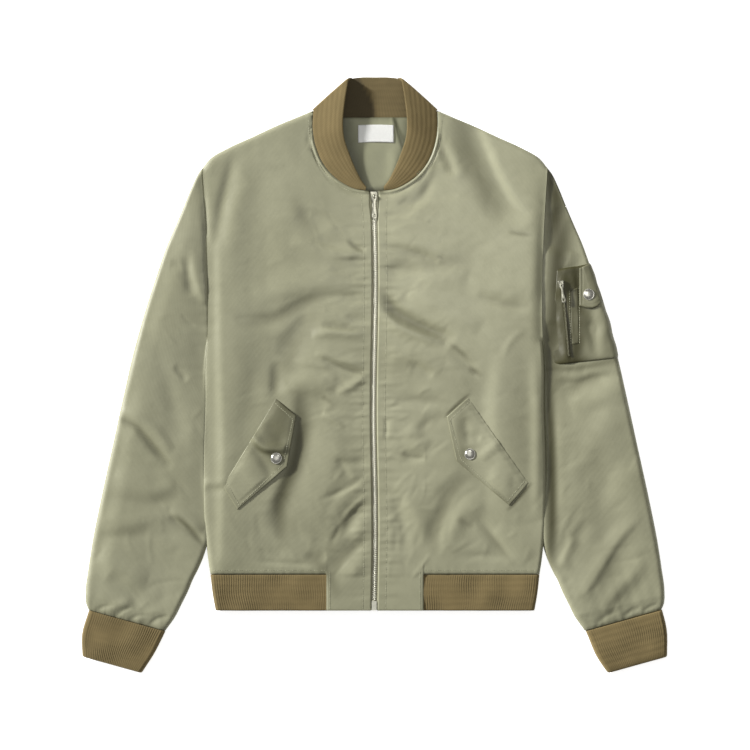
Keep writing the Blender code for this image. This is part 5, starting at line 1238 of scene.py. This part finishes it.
def copies(name, source, places, material):
    """Many copies of one mesh joined in a piece. places holds (origin, x, y and z axes) in millimetres."""
    points = np.array([v.co for v in source.data.vertices])
    faces = [tuple(p.vertices) for p in source.data.polygons]
    count = len(points)
    every, all_faces = [], []
    for k, (origin, axes) in enumerate(places):
        every.append(points @ np.array(axes) + np.array(origin) * MM)
        all_faces += [tuple(i + k * count for i in face) for face in faces]
    mesh = bpy.data.meshes.new(name)
    mesh.from_pydata(np.concatenate(every).tolist(), [], all_faces)
    mesh.shade_smooth()
    mesh.set_sharp_from_angle(angle=0.9)
    mesh.materials.append(material)
    piece = bpy.data.objects.new(name, mesh)
    bpy.context.scene.collection.objects.link(piece)
    bpy.data.objects.remove(source)
    return piece


TOOTH_PITCH = 2.8  # on one side of the chain
TOOTH_SIZE = (3.3, 1.5, 2.2)


def teeth(name, line, level, scale=1.0, metal=ZIP_METAL):
    """Two rows of teeth that mesh along a line."""
    line = np.asarray(line, float)
    total, pitch = lengths(line)[-1], TOOTH_PITCH * scale
    places = []
    for k in range(int(2 * total / pitch) - 1):
        here, ahead = along(line, np.minimum(np.array([k + 0.5, k + 1.5]) * pitch / 2 / total, 1.0))
        way = (ahead - here) / np.linalg.norm(ahead - here)
        side = 1 if k % 2 else -1
        x = np.array([way[1], -way[0], 0]) * side
        y = np.array([way[0], way[1], 0]) * side
        places.append(((here[0], here[1], level(*here)), np.array([x, y, (0, 0, 1)]) * scale))
    return copies(name, zip_tooth(), places, metal)


# Sizes in millimetres about the axis of the bail: x across the zip, y along it, z up.
SLIDER_SIZE = (9.6, 12.6, 3.6)
SLIDER_TOP = -1.3
PULL_EYE = (2.8, 1.2, 1.1)  # half width of the tab's end at its eye, and its length and thickness there
PULL_STEPS = ((2.8, 2.9), (1.8, 2.3), (3.8, 1.7), (5.5, 1.9), (5.0, 2.6), (4.5, 3.3), (4.0, 3.3), (2.4, 2.3))
PULL_HOLES = ((-2.0, 1.4, 1.0), (-25.5, 1.5, 1.35))  # how far down, radius and how much longer than wide
PULL_TILT = 0.035


def put(piece, name, at, heading, scale):
    """A piece modelled about its axis, moved onto its zip."""
    piece.name = name
    piece.data.materials.append(SLIDER_METAL)
    piece.scale = (scale, scale, scale)
    piece.rotation_euler.z = heading
    piece.location = np.array(at) * MM
    return apply(piece, 0.7)


def slider(name, at, heading, scale):
    """A slider narrowing to its teeth, its top dished, with the bail over it."""
    deselect()
    size = np.array(SLIDER_SIZE) * MM
    middle = (0, 0.5 * MM, SLIDER_TOP * MM - size[2] / 2)
    bpy.ops.mesh.primitive_cube_add(size=1, location=middle, scale=size)
    body = bpy.context.object
    bpy.ops.object.transform_apply(location=True, rotation=True, scale=True)
    select_faces(body, lambda face: face.normal.y < -0.5)
    bpy.ops.transform.resize(value=(0.72, 1, 1))
    select_faces(body, lambda face: face.normal.z > 0.5)
    bpy.ops.mesh.inset(thickness=1.3 * MM, depth=-0.3 * MM)
    bpy.ops.object.mode_set(mode="OBJECT")
    apply(bevelled(body, 1.0, 3))
    deselect()
    bpy.ops.mesh.primitive_torus_add(major_radius=1.9 * MM, minor_radius=0.6 * MM, major_segments=28,
                                     minor_segments=10, rotation=(0, np.pi / 2, 0))
    bail = bpy.context.object
    bail.scale.z = 1.6
    apply(bail)
    body.select_set(True)
    bpy.context.view_layer.objects.active = body
    bpy.ops.object.join()
    return put(body, name, at, heading, scale)


def pull_tab(name, at, heading, scale):
    """A slim tab drawn out from its eye, with the eye and the hole at its end cut through."""
    deselect()
    half, length, thickness = PULL_EYE
    bpy.ops.mesh.primitive_cube_add(size=1, scale=(2 * half * MM, length * MM, thickness * MM))
    tab = bpy.context.object
    bpy.ops.object.transform_apply(location=True, rotation=True, scale=True)
    select_faces(tab, lambda face: face.normal.y < -0.5)
    for step, wide in PULL_STEPS:
        bpy.ops.mesh.extrude_region_move(TRANSFORM_OT_translate={"value": (0, -step * MM, 0)})
        bpy.ops.transform.resize(value=(wide / half, 1, 1))
        half = wide
    bpy.ops.object.mode_set(mode="OBJECT")
    for y, radius, stretch in PULL_HOLES:
        deselect()
        bpy.ops.mesh.primitive_cylinder_add(vertices=24, radius=radius * MM, depth=4 * MM,
                                            location=(0, y * MM, 0), scale=(1, stretch, 1))
        punch = bpy.context.object
        hole = tab.modifiers.new("hole", "BOOLEAN")
        hole.operation, hole.object, hole.solver = "DIFFERENCE", punch, "EXACT"
        choose(tab)
        bpy.ops.object.modifier_apply(modifier=hole.name)
        bpy.data.objects.remove(punch)
    bevelled(tab, 0.25, 2)
    tab.rotation_euler.x = PULL_TILT
    apply(tab)
    return put(tab, name, at, heading, scale)


STITCH_HALF = (0.28, 0.36, 1.25)  # half its thickness, width and length
STITCH_PITCH = 3.2


def stitch():
    """One rounded stitch of thread."""
    deselect()
    bpy.ops.mesh.primitive_uv_sphere_add(segments=6, ring_count=4, radius=1, rotation=(0, np.pi / 2, 0))
    piece = bpy.context.object
    piece.scale = [half * MM for half in STITCH_HALF]
    return apply(piece, 3.0)


def stitches(name, lines):
    """Lines of stitches on the cloth. Each line is a tree to lie on and plan points."""
    places = []
    for tree, line in lines:
        line = np.asarray(line, float)
        total = lengths(line)[-1]
        count = max(2, round(total / STITCH_PITCH))
        points = along(line, (np.arange(count) + 0.5) / count)
        ways = np.gradient(along(line, np.linspace(0, 1, count + 1)), axis=0)[:count]
        for point, way in zip(points, ways):
            hit, normal, _, _ = tree.ray_cast((*point, 100.0), (0, 0, -1))
            if hit is None:
                continue
            up = np.array(normal) * (1 if normal.z > 0 else -1)
            x = np.array([*way, 0.0]) / np.linalg.norm(way)
            x -= up * (x @ up)
            x /= np.linalg.norm(x)
            places.append((np.array(hit) + up * 0.12, np.array([x, np.cross(up, x), up])))
    return copies(name, stitch(), places, THREAD)


# ---------------- flaps, pocket and snaps
def smooth_grid(table, rows, columns):
    """A grid of numbers read smoothly at more rows and columns."""
    table = np.asarray(table, float)

    def finer(lines, count):
        spaced = np.column_stack([np.arange(len(lines)) * 10.0, lines])
        return smooth(spaced, np.linspace(0, len(lines) - 1, count))[:, 1:]

    return finer(finer(table, rows).T, columns).T


FLAP_EDGE_STITCH = 5.0
# How far the free edge stands up, from its top down.
FLAP_STAND = {"right": (1.4, 2.6, 2.4, 0.8, 0.2), "left": (0.9, 0.8, 0.6, 0.5, 0.4)}
FLAP_FOLDS = {
    "right": creases(
        (4.2, 6, 0.2, ((-168, -66), (-162, -80), (-148, -95), (-130, -98), (-110, -98))),
        (-2.4, 7, 0.0, ((-166, -84), (-152, -104), (-140, -124), (-128, -140))),
        (-1.6, 9, 0.0, ((-146, -64), (-130, -78), (-118, -92))),
        (1.2, 12, 0.0, ((-176, -116), (-160, -136), (-150, -160)))),
    "left": creases(
        (1.6, 7, 0.0, ((166, -88), (150, -100), (138, -112))),
        (-1.2, 6, 0.0, ((140, -84), (128, -80), (116, -78))),
        (-1.2, 7, 0.0, ((118, -56), (122, -78), (126, -92))),
        (1.0, 12, 0.0, ((150, -130), (166, -140), (182, -142)))),
}
# Painted shade on the pocket flaps: how much of the deep colour shows (0 to 1), width, lean and path.
FLAP_SHADES = creases(
    (0.74, 26, 0.0, ((-100, 40), (-114, -30), (-126, -70), (-140, -140))),
    (0.70, 5, 0.0, ((-166, -84), (-146, -101), (-136, -103), (-112, -102))),
    (0.30, 10, 0.0, ((126, -20), (112, -62), (116, -110), (122, -140))),
    (0.30, 8, 0.0, ((150, -150), (170, -166), (190, -166))),
)


def flap_plan(flap, t, across):
    """Plan points of a flap, t down its sewn edge and across to its free edge, which turns at its tip."""
    t = t[:, None]
    sewn_top, sewn_low, free_top, tip, free_low = (np.array(point) for point in flap[:5])
    sewn = sewn_top + t * (sewn_low - sewn_top)
    free = np.where(t < FLAP_TIP, free_top + t / FLAP_TIP * (tip - free_top),
                    tip + (t - FLAP_TIP) / (1 - FLAP_TIP) * (free_low - tip))
    return sewn[:, None] + across[None, :, None] * (free - sewn)[:, None]


def pocket_flap(side_name, tree):
    """A five-sided flap sewn along its long edge, topstitched, puffed where its stud pulls it down."""
    flap = FLAPS[side_name]
    rough = flap_plan(flap, np.linspace(0, 1, 9), np.linspace(0, 1, 6))
    levels = np.array([[level_on(tree, *p) for p in row] for row in rough]) + PILE_GAP + 0.5
    t = np.unique(np.concatenate([np.linspace(0, 1, 64), (0.004, 0.01, 0.99, 0.996, FLAP_TIP)]))
    across = np.unique(np.concatenate([np.linspace(0, 1, 34), (0.008, 0.02, 0.98, 0.992)]))
    plan = flap_plan(flap, t, across)
    base = smooth_grid(levels, 81, 61)
    base = base[np.rint(t * 80).astype(int)][:, np.rint(across * 60).astype(int)]
    length = np.linalg.norm(np.array(flap.sewn_low) - flap.sewn_top)
    rows, columns = np.meshgrid(t * length, across, indexing="ij")
    width = np.linalg.norm(plan[:, -1] - plan[:, 0], axis=1)[:, None]
    edge = np.minimum(np.minimum(rows, rows.max() - rows) * 0.85, (1 - columns) * width * 0.9)
    sewn = columns * width
    from_snap = np.linalg.norm(plan - flap.snap, axis=-1)
    puff = flap.puff * np.sin(np.pi * columns**0.7) ** 0.7 * np.sin(np.pi * t)[:, None] ** 0.7
    puff += creased(plan, FLAP_FOLDS[side_name])
    shape = puff * np.clip(edge / 8, 0, 1) + valley(from_snap, 1.2, 9.0)
    shape += 0.3 * ripple(rows + 0.4 * sewn, 91, (7, 11)) * np.exp(-sewn / 8)
    shape += valley(edge - FLAP_EDGE_STITCH, 0.2, 1.1)
    tucked = np.clip(1 - sewn / 9, 0, 1)
    stand = np.interp(t, np.linspace(0, 1, 5), FLAP_STAND[side_name])[:, None] * smooth_step(columns)
    over = base + stand + shape - 0.9 * rim(edge, 1.1) - 0.8 * smooth_step(tucked)
    outer = np.concatenate([plan, over[..., None]], axis=-1)
    # The flap's seam value is painted shade: along its edges and in its folds from FLAP_SHADES.
    piece = cloth("pocket_flap_" + side_name, outer, outer - (0, 0, FLAP_WALL), SHELL,
                  seam=np.clip(0.3 * np.exp(-np.minimum(edge, 20) / 2) + creased(plan, FLAP_SHADES), 0, 1))
    mine = tree_of(piece)
    corners = [np.array(p) for p in (flap.sewn_top, flap.free_top, flap.tip, flap.free_low, flap.sewn_low)]
    middle = sum(corners) / 5
    shrunk = [p + (middle - p) / np.linalg.norm(middle - p) * FLAP_EDGE_STITCH * 1.25 for p in corners]
    return piece, mine, [(mine, [a, b]) for a, b in zip(shrunk, shrunk[1:])]


STUD_RINGS = ((0.9, 0), (0.3, -0.35), (0.35, 0.5), (1.02, 0.42), (1.02, 0.3), (1.02, 0.2), (1.02, 0.1),
              (1.02, 0.04))  # from its rim to its middle: how wide each ring is and how far it rises


def press_stud(name, x, y, tree):
    """A domed press stud: a low ring with a polished cap."""
    ring_at = np.linspace(0, 2 * np.pi, 12, endpoint=False)
    base = max(level_on(tree, x + r * SNAP_RADIUS * np.cos(a), y + r * SNAP_RADIUS * np.sin(a))
               for a in ring_at for r in (0.4, 0.8))
    deselect()
    bpy.ops.mesh.primitive_cylinder_add(vertices=48, radius=SNAP_RADIUS * MM, depth=1.0 * MM,
                                        location=(x * MM, y * MM, (base + 0.6) * MM))
    piece = bpy.context.object
    select_faces(piece, lambda face: face.normal.z > 0.9)
    for wide, rise in STUD_RINGS:
        bpy.ops.mesh.inset(thickness=wide * MM, depth=rise * MM)
    bpy.ops.object.mode_set(mode="OBJECT")
    piece.name = name
    piece.data.materials.append(METAL)
    return apply(bevelled(piece, 0.25, 2), 0.7)


def sleeve_edge(y):
    """A point of the left sleeve's outer edge and the way out there."""
    edge = point_at(OUTER_LINE, y)
    slope = np.array([x_at(OUTER_LINE, y - 10) - x_at(OUTER_LINE, y + 10), -20.0])
    return edge, np.array([-slope[1], slope[0]]) / np.linalg.norm(slope)


def over_sleeve(tree, start, edge_y, parts, lift):
    """A row of points over the left sleeve: parts 0 to 1 run from start to where the cloth turns down at
    its outer edge, and parts 1 to 2 go down round that edge to its middle. Gives points and ways out."""
    edge, out = sleeve_edge(edge_y)
    bend = edge - out * FRONT_ROUND
    points, ways = [], []
    for part in parts:
        if part <= 1:
            plan = np.array(start) + part * (bend - start)
            points.append((*plan, level_on(tree, *plan) + lift))
            ways.append((0, 0, 1))
            continue
        angle = np.pi / 2 * (2 - part)
        way = np.array([*(out * np.cos(angle)), np.sin(angle)])
        hit = tree.ray_cast(tuple(np.array([*bend, TOP / 2]) + way * 60), tuple(-way))[0]
        points.append(np.array(hit) + way * lift)
        ways.append(way)
    return np.array(points), np.array(ways)


def lifted_grid(tree, starts, edge_ys, parts, lift, wall):
    """Rough grid over the sleeve, smoothed and made finer: points and ways out."""
    rough = [over_sleeve(tree, start, y, parts, lift) for start, y in zip(starts, edge_ys)]
    points, ways = (np.array(part) for part in zip(*rough))
    rows, columns = 5 * len(starts), 7 * len(parts)
    fine = np.stack([smooth_grid(points[..., k], rows, columns) for k in range(3)], axis=-1)
    ways = np.stack([smooth_grid(ways[..., k], rows, columns) for k in range(3)], axis=-1)
    ways /= np.linalg.norm(ways, axis=-1)[..., None]
    return fine + ways * wall, ways


def sleeve_pocket(tree):
    """The flat pocket on the left sleeve, seamed all round, slack enough to ripple."""
    t = np.linspace(0, 1, 11)
    y, x, rise = (a + t * (b - a) for a, b in (POCKET_Y, POCKET_FRONT_X, POCKET_RISE))
    parts = (0, 0.17, 0.33, 0.5, 0.67, 0.83, 1, 1.33, 1.67, 1.93)
    points, ways = lifted_grid(tree, np.stack([x, y], axis=1), y + rise, parts, 0.5, 1.3)
    plan = points[..., :2]
    edge_row = np.linspace(0, 1, len(points))[:, None] * (POCKET_Y[0] - POCKET_Y[1])
    edge_row = np.minimum(edge_row, POCKET_Y[0] - POCKET_Y[1] - edge_row)
    edge_column = np.linalg.norm(plan - plan[:, :1], axis=-1)
    edge = np.minimum(edge_row, edge_column)
    shape = creased(plan, creases(
        (1.1, 8, 0.0, ((268, 92), (276, 60), (282, 34), (278, 18))),
        (-1.4, 8, 0.0, ((284, 88), (286, 56), (290, 24))),
        (1.0, 9, 0.0, ((306, 84), (302, 52), (308, 24))),
        (-1.6, 3.0, 0.0, ((247, 122), (251, 92), (256, 52), (259, 14))),
        (1.0, 4.0, 0.0, ((240, 96), (244, 62), (250, 36), (254, 14))),
        (-1.0, 4.0, 0.0, ((236, 80), (240, 46), (246, 20))),
        (1.2, 5.0, 0.0, ((262, 134), (264, 108), (268, 80)))))
    shape = shape * np.clip(edge / 8, 0, 1) + 0.35 * rumple(plan, 95, 14, 34) * np.clip(edge / 6, 0, 1)
    shape += 1.1 - np.interp(edge_column, (0, 10, 27, 46, 70), (1.1, 0.8, 1.7, 1.1, 1.1))
    shape += valley(edge_row - 2.5, 0.4, 1.0)
    # The zip's welt, padded most under the slider.
    shape += 3.1 * bell(np.linalg.norm(plan - (246.0, 116.0), axis=-1), 13)
    shape += creased(plan, creases(
        (1.9, 8.0, 0, ((241, 180), (246, 120), (250, 96), (254, 56), (258, 12), (262, -40)))))
    sunk = 2.4 * smooth_step(np.clip(1 - edge_column / 20, 0, 1))
    outer = points + ways * (np.maximum(shape, -0.9) - 1.4 * rim(edge_row, 1.6) - sunk)[..., None]
    # Painted shade: over the pocket's inner part beside the body, along its top and bottom seams and beside
    # its zip.
    inner_shade = 0.34 + 0.66 * smooth_step(np.clip(2.4 - edge_column / 24, 0, 1))
    seam = np.maximum(0.6 * np.exp(-edge_row / 1.8), inner_shade)
    beside_zip = creases((0.6, 3.5, 0, ((248, 124), (254, 96), (260, 56), (263, 12))))
    seam = np.maximum(seam, creased(plan, beside_zip))
    return cloth("pocket_on_sleeve", outer, outer - ways * POCKET_WALL, SHELL, seam=seam)


def sleeve_flap(tree):
    """The small flap over the pen pocket, running to the sleeve's outer edge, with a shallow V below."""
    t = np.linspace(0, 1, 7)
    y = POCKET_FLAP_Y[0] + t * (POCKET_FLAP_Y[1] - POCKET_FLAP_Y[0])
    parts = (0.0, 0.35, 0.7, 1.0, 1.33, 1.66)
    starts = np.stack([np.full(7, POCKET_FLAP_X), y], axis=1)
    points, ways = lifted_grid(tree, starts, y + POCKET_RISE[0] * 0.7, parts, 2.9, 1.6)
    columns = points.shape[1]
    at_edge = np.clip((np.interp(np.linspace(0, 5, columns), range(6), parts) - 0.8) / 0.86, 0, 1)
    points -= ways * (1.6 * at_edge)[None, :, None]
    tip = np.interp(np.linspace(0, 1, columns), np.array(parts) / 1.66, (0, 0.7, 1, 0.8, 0.4, 0.1))
    down = np.linspace(0, 1, len(points))[:, None]
    points[..., 1] -= down * 6.0 * tip
    edge = np.minimum(np.linalg.norm(points[..., :2] - points[:, :1, :2], axis=-1), (1 - down) * 50)
    snap_dip = valley(np.linalg.norm(points[..., :2] - POCKET_SNAP, axis=-1), 0.8, 8.0)
    outer = points + ways * (snap_dip + valley(edge - 4, 0.35, 1.0) - 1.2 * rim(edge, 1.6))[..., None]
    inner = outer - ways * SMALL_FLAP_WALL
    # The whole small flap is painted darker as shade, most at its edges.
    return cloth("flap_on_sleeve", outer, inner, SHELL, seam=0.5 + 0.3 * np.exp(-edge / 2))


def pen_pleat(tree):
    """The stitched pleat beside the sleeve's zip."""
    corners = np.array(PEN_SLOT)
    down = np.linspace(0, 1, 40)[:, None]
    left = corners[0] + down * (corners[3] - corners[0])
    right = corners[1] + down * (corners[2] - corners[1])
    t = np.linspace(0, 1, 9)
    plan = left[:, None] + t[None, :, None] * (right - left)[:, None]
    level = np.array([[level_on(tree, *p) for p in row] for row in plan])
    hump = 0.12 + 0.2 * np.sin(np.pi * t)[None] + 0.15 * np.sin(np.arange(40) / 3.0)[:, None]
    outer = np.concatenate([plan, (level + hump)[..., None]], axis=-1)
    # Painted shade darkens the whole pleat.
    return cloth("pen_pleat", outer, outer - (0, 0, PLEAT_WALL), SHELL, seam=0.85)


# Of each zip: prefix, body of its pull, axis of its bail, heading and scale.
ZIPS = (("", "main_pull", (-1.246, 236.0, 10.9), 0.0, 1.0),
        ("sleeve_", "pocket_pull", (245.4, 119.0, 16.52), 0.15, 0.8))


def build():
    """Every piece of the jacket, each attached to its body in place of its solids, and the topstitching over
    them.
    """
    back = settle(back_panel(), "shell", "back_panel")
    fronts = {name: settle(front_panel("front_panel_" + name, side), "shell", "front_" + name)
              for name, side in SIDES}
    arms = {name: settle(sleeve("sleeve_tube_" + name, side), "shell", "sleeve_" + name)
            for name, side in SIDES}
    cuffs = {name: settle(cuff("knit_cuff_" + name, side), "rib", "cuff_" + name) for name, side in SIDES}
    hem = settle(hem_band(), "rib", "hem_rib")
    band = settle(collar(), "rib", "collar")
    lining = settle(neck_lining(), "lining", "neck_lining")
    tag = settle(neck_label(), "label", "label")
    tapes = {name: settle(tape("tape_" + name, side), "tape", "zip_tape_" + name) for name, side in SIDES}
    ys = np.arange(BOX_TOP_Y, SLIDER_Y - 6, 2.0)
    chain = teeth("zip_teeth", np.stack([zip_x(ys), ys], axis=1), lambda x, y: sum(CHAIN_LEVEL) / 2)
    settle(chain, "metal", "zip_chain")

    trees = {name: tree_of(piece) for name, piece in fronts.items()}
    sewing = []
    flaps = {}
    for name, side in SIDES:
        flaps[name], flap_tree, lines = pocket_flap(name, trees[name])
        settle(flaps[name], "shell", "flap_" + name)
        sewing += lines
        settle(press_stud("press_stud_" + name, *FLAPS[name].snap, flap_tree), "metal", "snap_" + name)
        ys = np.arange(HEM_Y + 2, ZIP_TOP_Y - 3, 4.0)
        beside_zip = np.stack([(zip_edge(ys, side) + FRONT_STITCH_X) * side, ys], axis=1)
        sewing.append((trees[name], beside_zip))
        xs = np.arange(TAB_X + 1, SIDE[-1][0] - 4, 4.0)
        over_hem = np.stack([xs * side, np.full(len(xs), HEM_SEAM_Y + HEM_STITCH)], axis=1)
        sewing.append((trees[name], over_hem))
        tab_x = (TAB_X - 4.5) * side
        sewing.append((trees[name], [(tab_x, HEM_SEAM_Y + 4), (tab_x, HEM_Y + 2)]))
        seam = NECK_LINE[4:-5]
        _, way, _ = inset(seam, NECK_LINE)
        sewing.append((trees[name], (seam - way * NECK_STITCH) * (side, 1)))

    pocket = settle(sleeve_pocket(tree_of(arms["left"])), "shell", "sleeve_pocket")
    on_pocket = tree_of(pocket)
    small_flap = settle(sleeve_flap(tree_of(arms["left"])), "shell", "sleeve_pocket_flap")
    settle(press_stud("press_stud_sleeve", *POCKET_SNAP, tree_of(small_flap)), "metal", "snap_sleeve")
    pleat = settle(pen_pleat(on_pocket), "shell", "pen_slot")
    line = along(POCKET_ZIP, np.linspace(0.12, 1, 30))
    settle(teeth("sleeve_zip_teeth", line, lambda x, y: level_on(on_pocket, x, y) + 0.8, 0.6, DARK_METAL),
           "metal", "sleeve_zip_chain")
    sewing += [(on_pocket, [np.array(a) + d for a in ends]) for ends, d in (
        ((PEN_SLOT[0], PEN_SLOT[3]), (-1.5, 0)), ((PEN_SLOT[1], PEN_SLOT[2]), (1.5, 0)))]
    settle(stitches("topstitching", sewing), "shell")

    for prefix, body, at, heading, scale in ZIPS:
        settle(slider(prefix + "slider", at, heading, scale), "metal", prefix + "zip_slider")
        settle(pull_tab(prefix + "pull", at, heading, scale), "metal", prefix + "zip_pull", body=body)
    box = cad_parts["zip_box"]
    box.data.materials.clear()
    box.data.materials.append(ZIP_METAL)


# ---------------- floor, light and camera
def light(name, kind, energy, location, **settings):
    """A lamp in its place."""
    lamp = bpy.data.lights.new(name, kind)
    lamp.energy = energy
    for key, value in settings.items():
        setattr(lamp, key, value)
    made = bpy.data.objects.new(name, lamp)
    made.location = location
    bpy.context.scene.collection.objects.link(made)
    return made


def studio():
    """The lit floor, the white room, the lamps and the camera straight above."""
    deselect()
    bpy.ops.mesh.primitive_plane_add(size=12, location=(0, 0, 0))
    floor = bpy.context.object
    floor.name = "floor"
    floor.data.materials.append(opal_floor())

    world = bpy.data.worlds.new("soft white room")
    bpy.context.scene.world = world
    world.use_nodes = True
    world.node_tree.nodes["Background"].inputs["Color"].default_value = (1, 1, 1, 1)
    world.node_tree.nodes["Background"].inputs["Strength"].default_value = 0.30

    # Low enough to show the folds and to throw the collar's shadow.
    sun = light("far softbox, upper left", "SUN", 7.9, (-2.72, 1.21, 1.03), angle=np.radians(6))
    sun.rotation_euler = (-sun.location).to_track_quat("-Z", "Y").to_euler()
    # Weak and wide, for the metal and the satin to mirror.
    light("overhead bank", "AREA", 9.0, (0, 0, 2.9), shape="SQUARE", size=1.5)
    # Over the wearer's left breast, where the satin shines most.
    light("low softbox", "AREA", 0.64, (0.13, 0.21, 0.42), shape="SQUARE", size=0.24)

    lens = bpy.data.cameras.new("straight above")
    lens.lens, lens.sensor_width = 85.0, 36.0
    camera = bpy.data.objects.new("straight above", lens)
    frame_width = 0.990  # what the frame takes in, at the cloth
    camera.location = (0, 0, frame_width * lens.lens / lens.sensor_width + TOP * MM)
    bpy.context.scene.collection.objects.link(camera)
    bpy.context.scene.camera = camera
    bpy.context.scene.view_settings.view_transform = "Standard"


build()
studio()
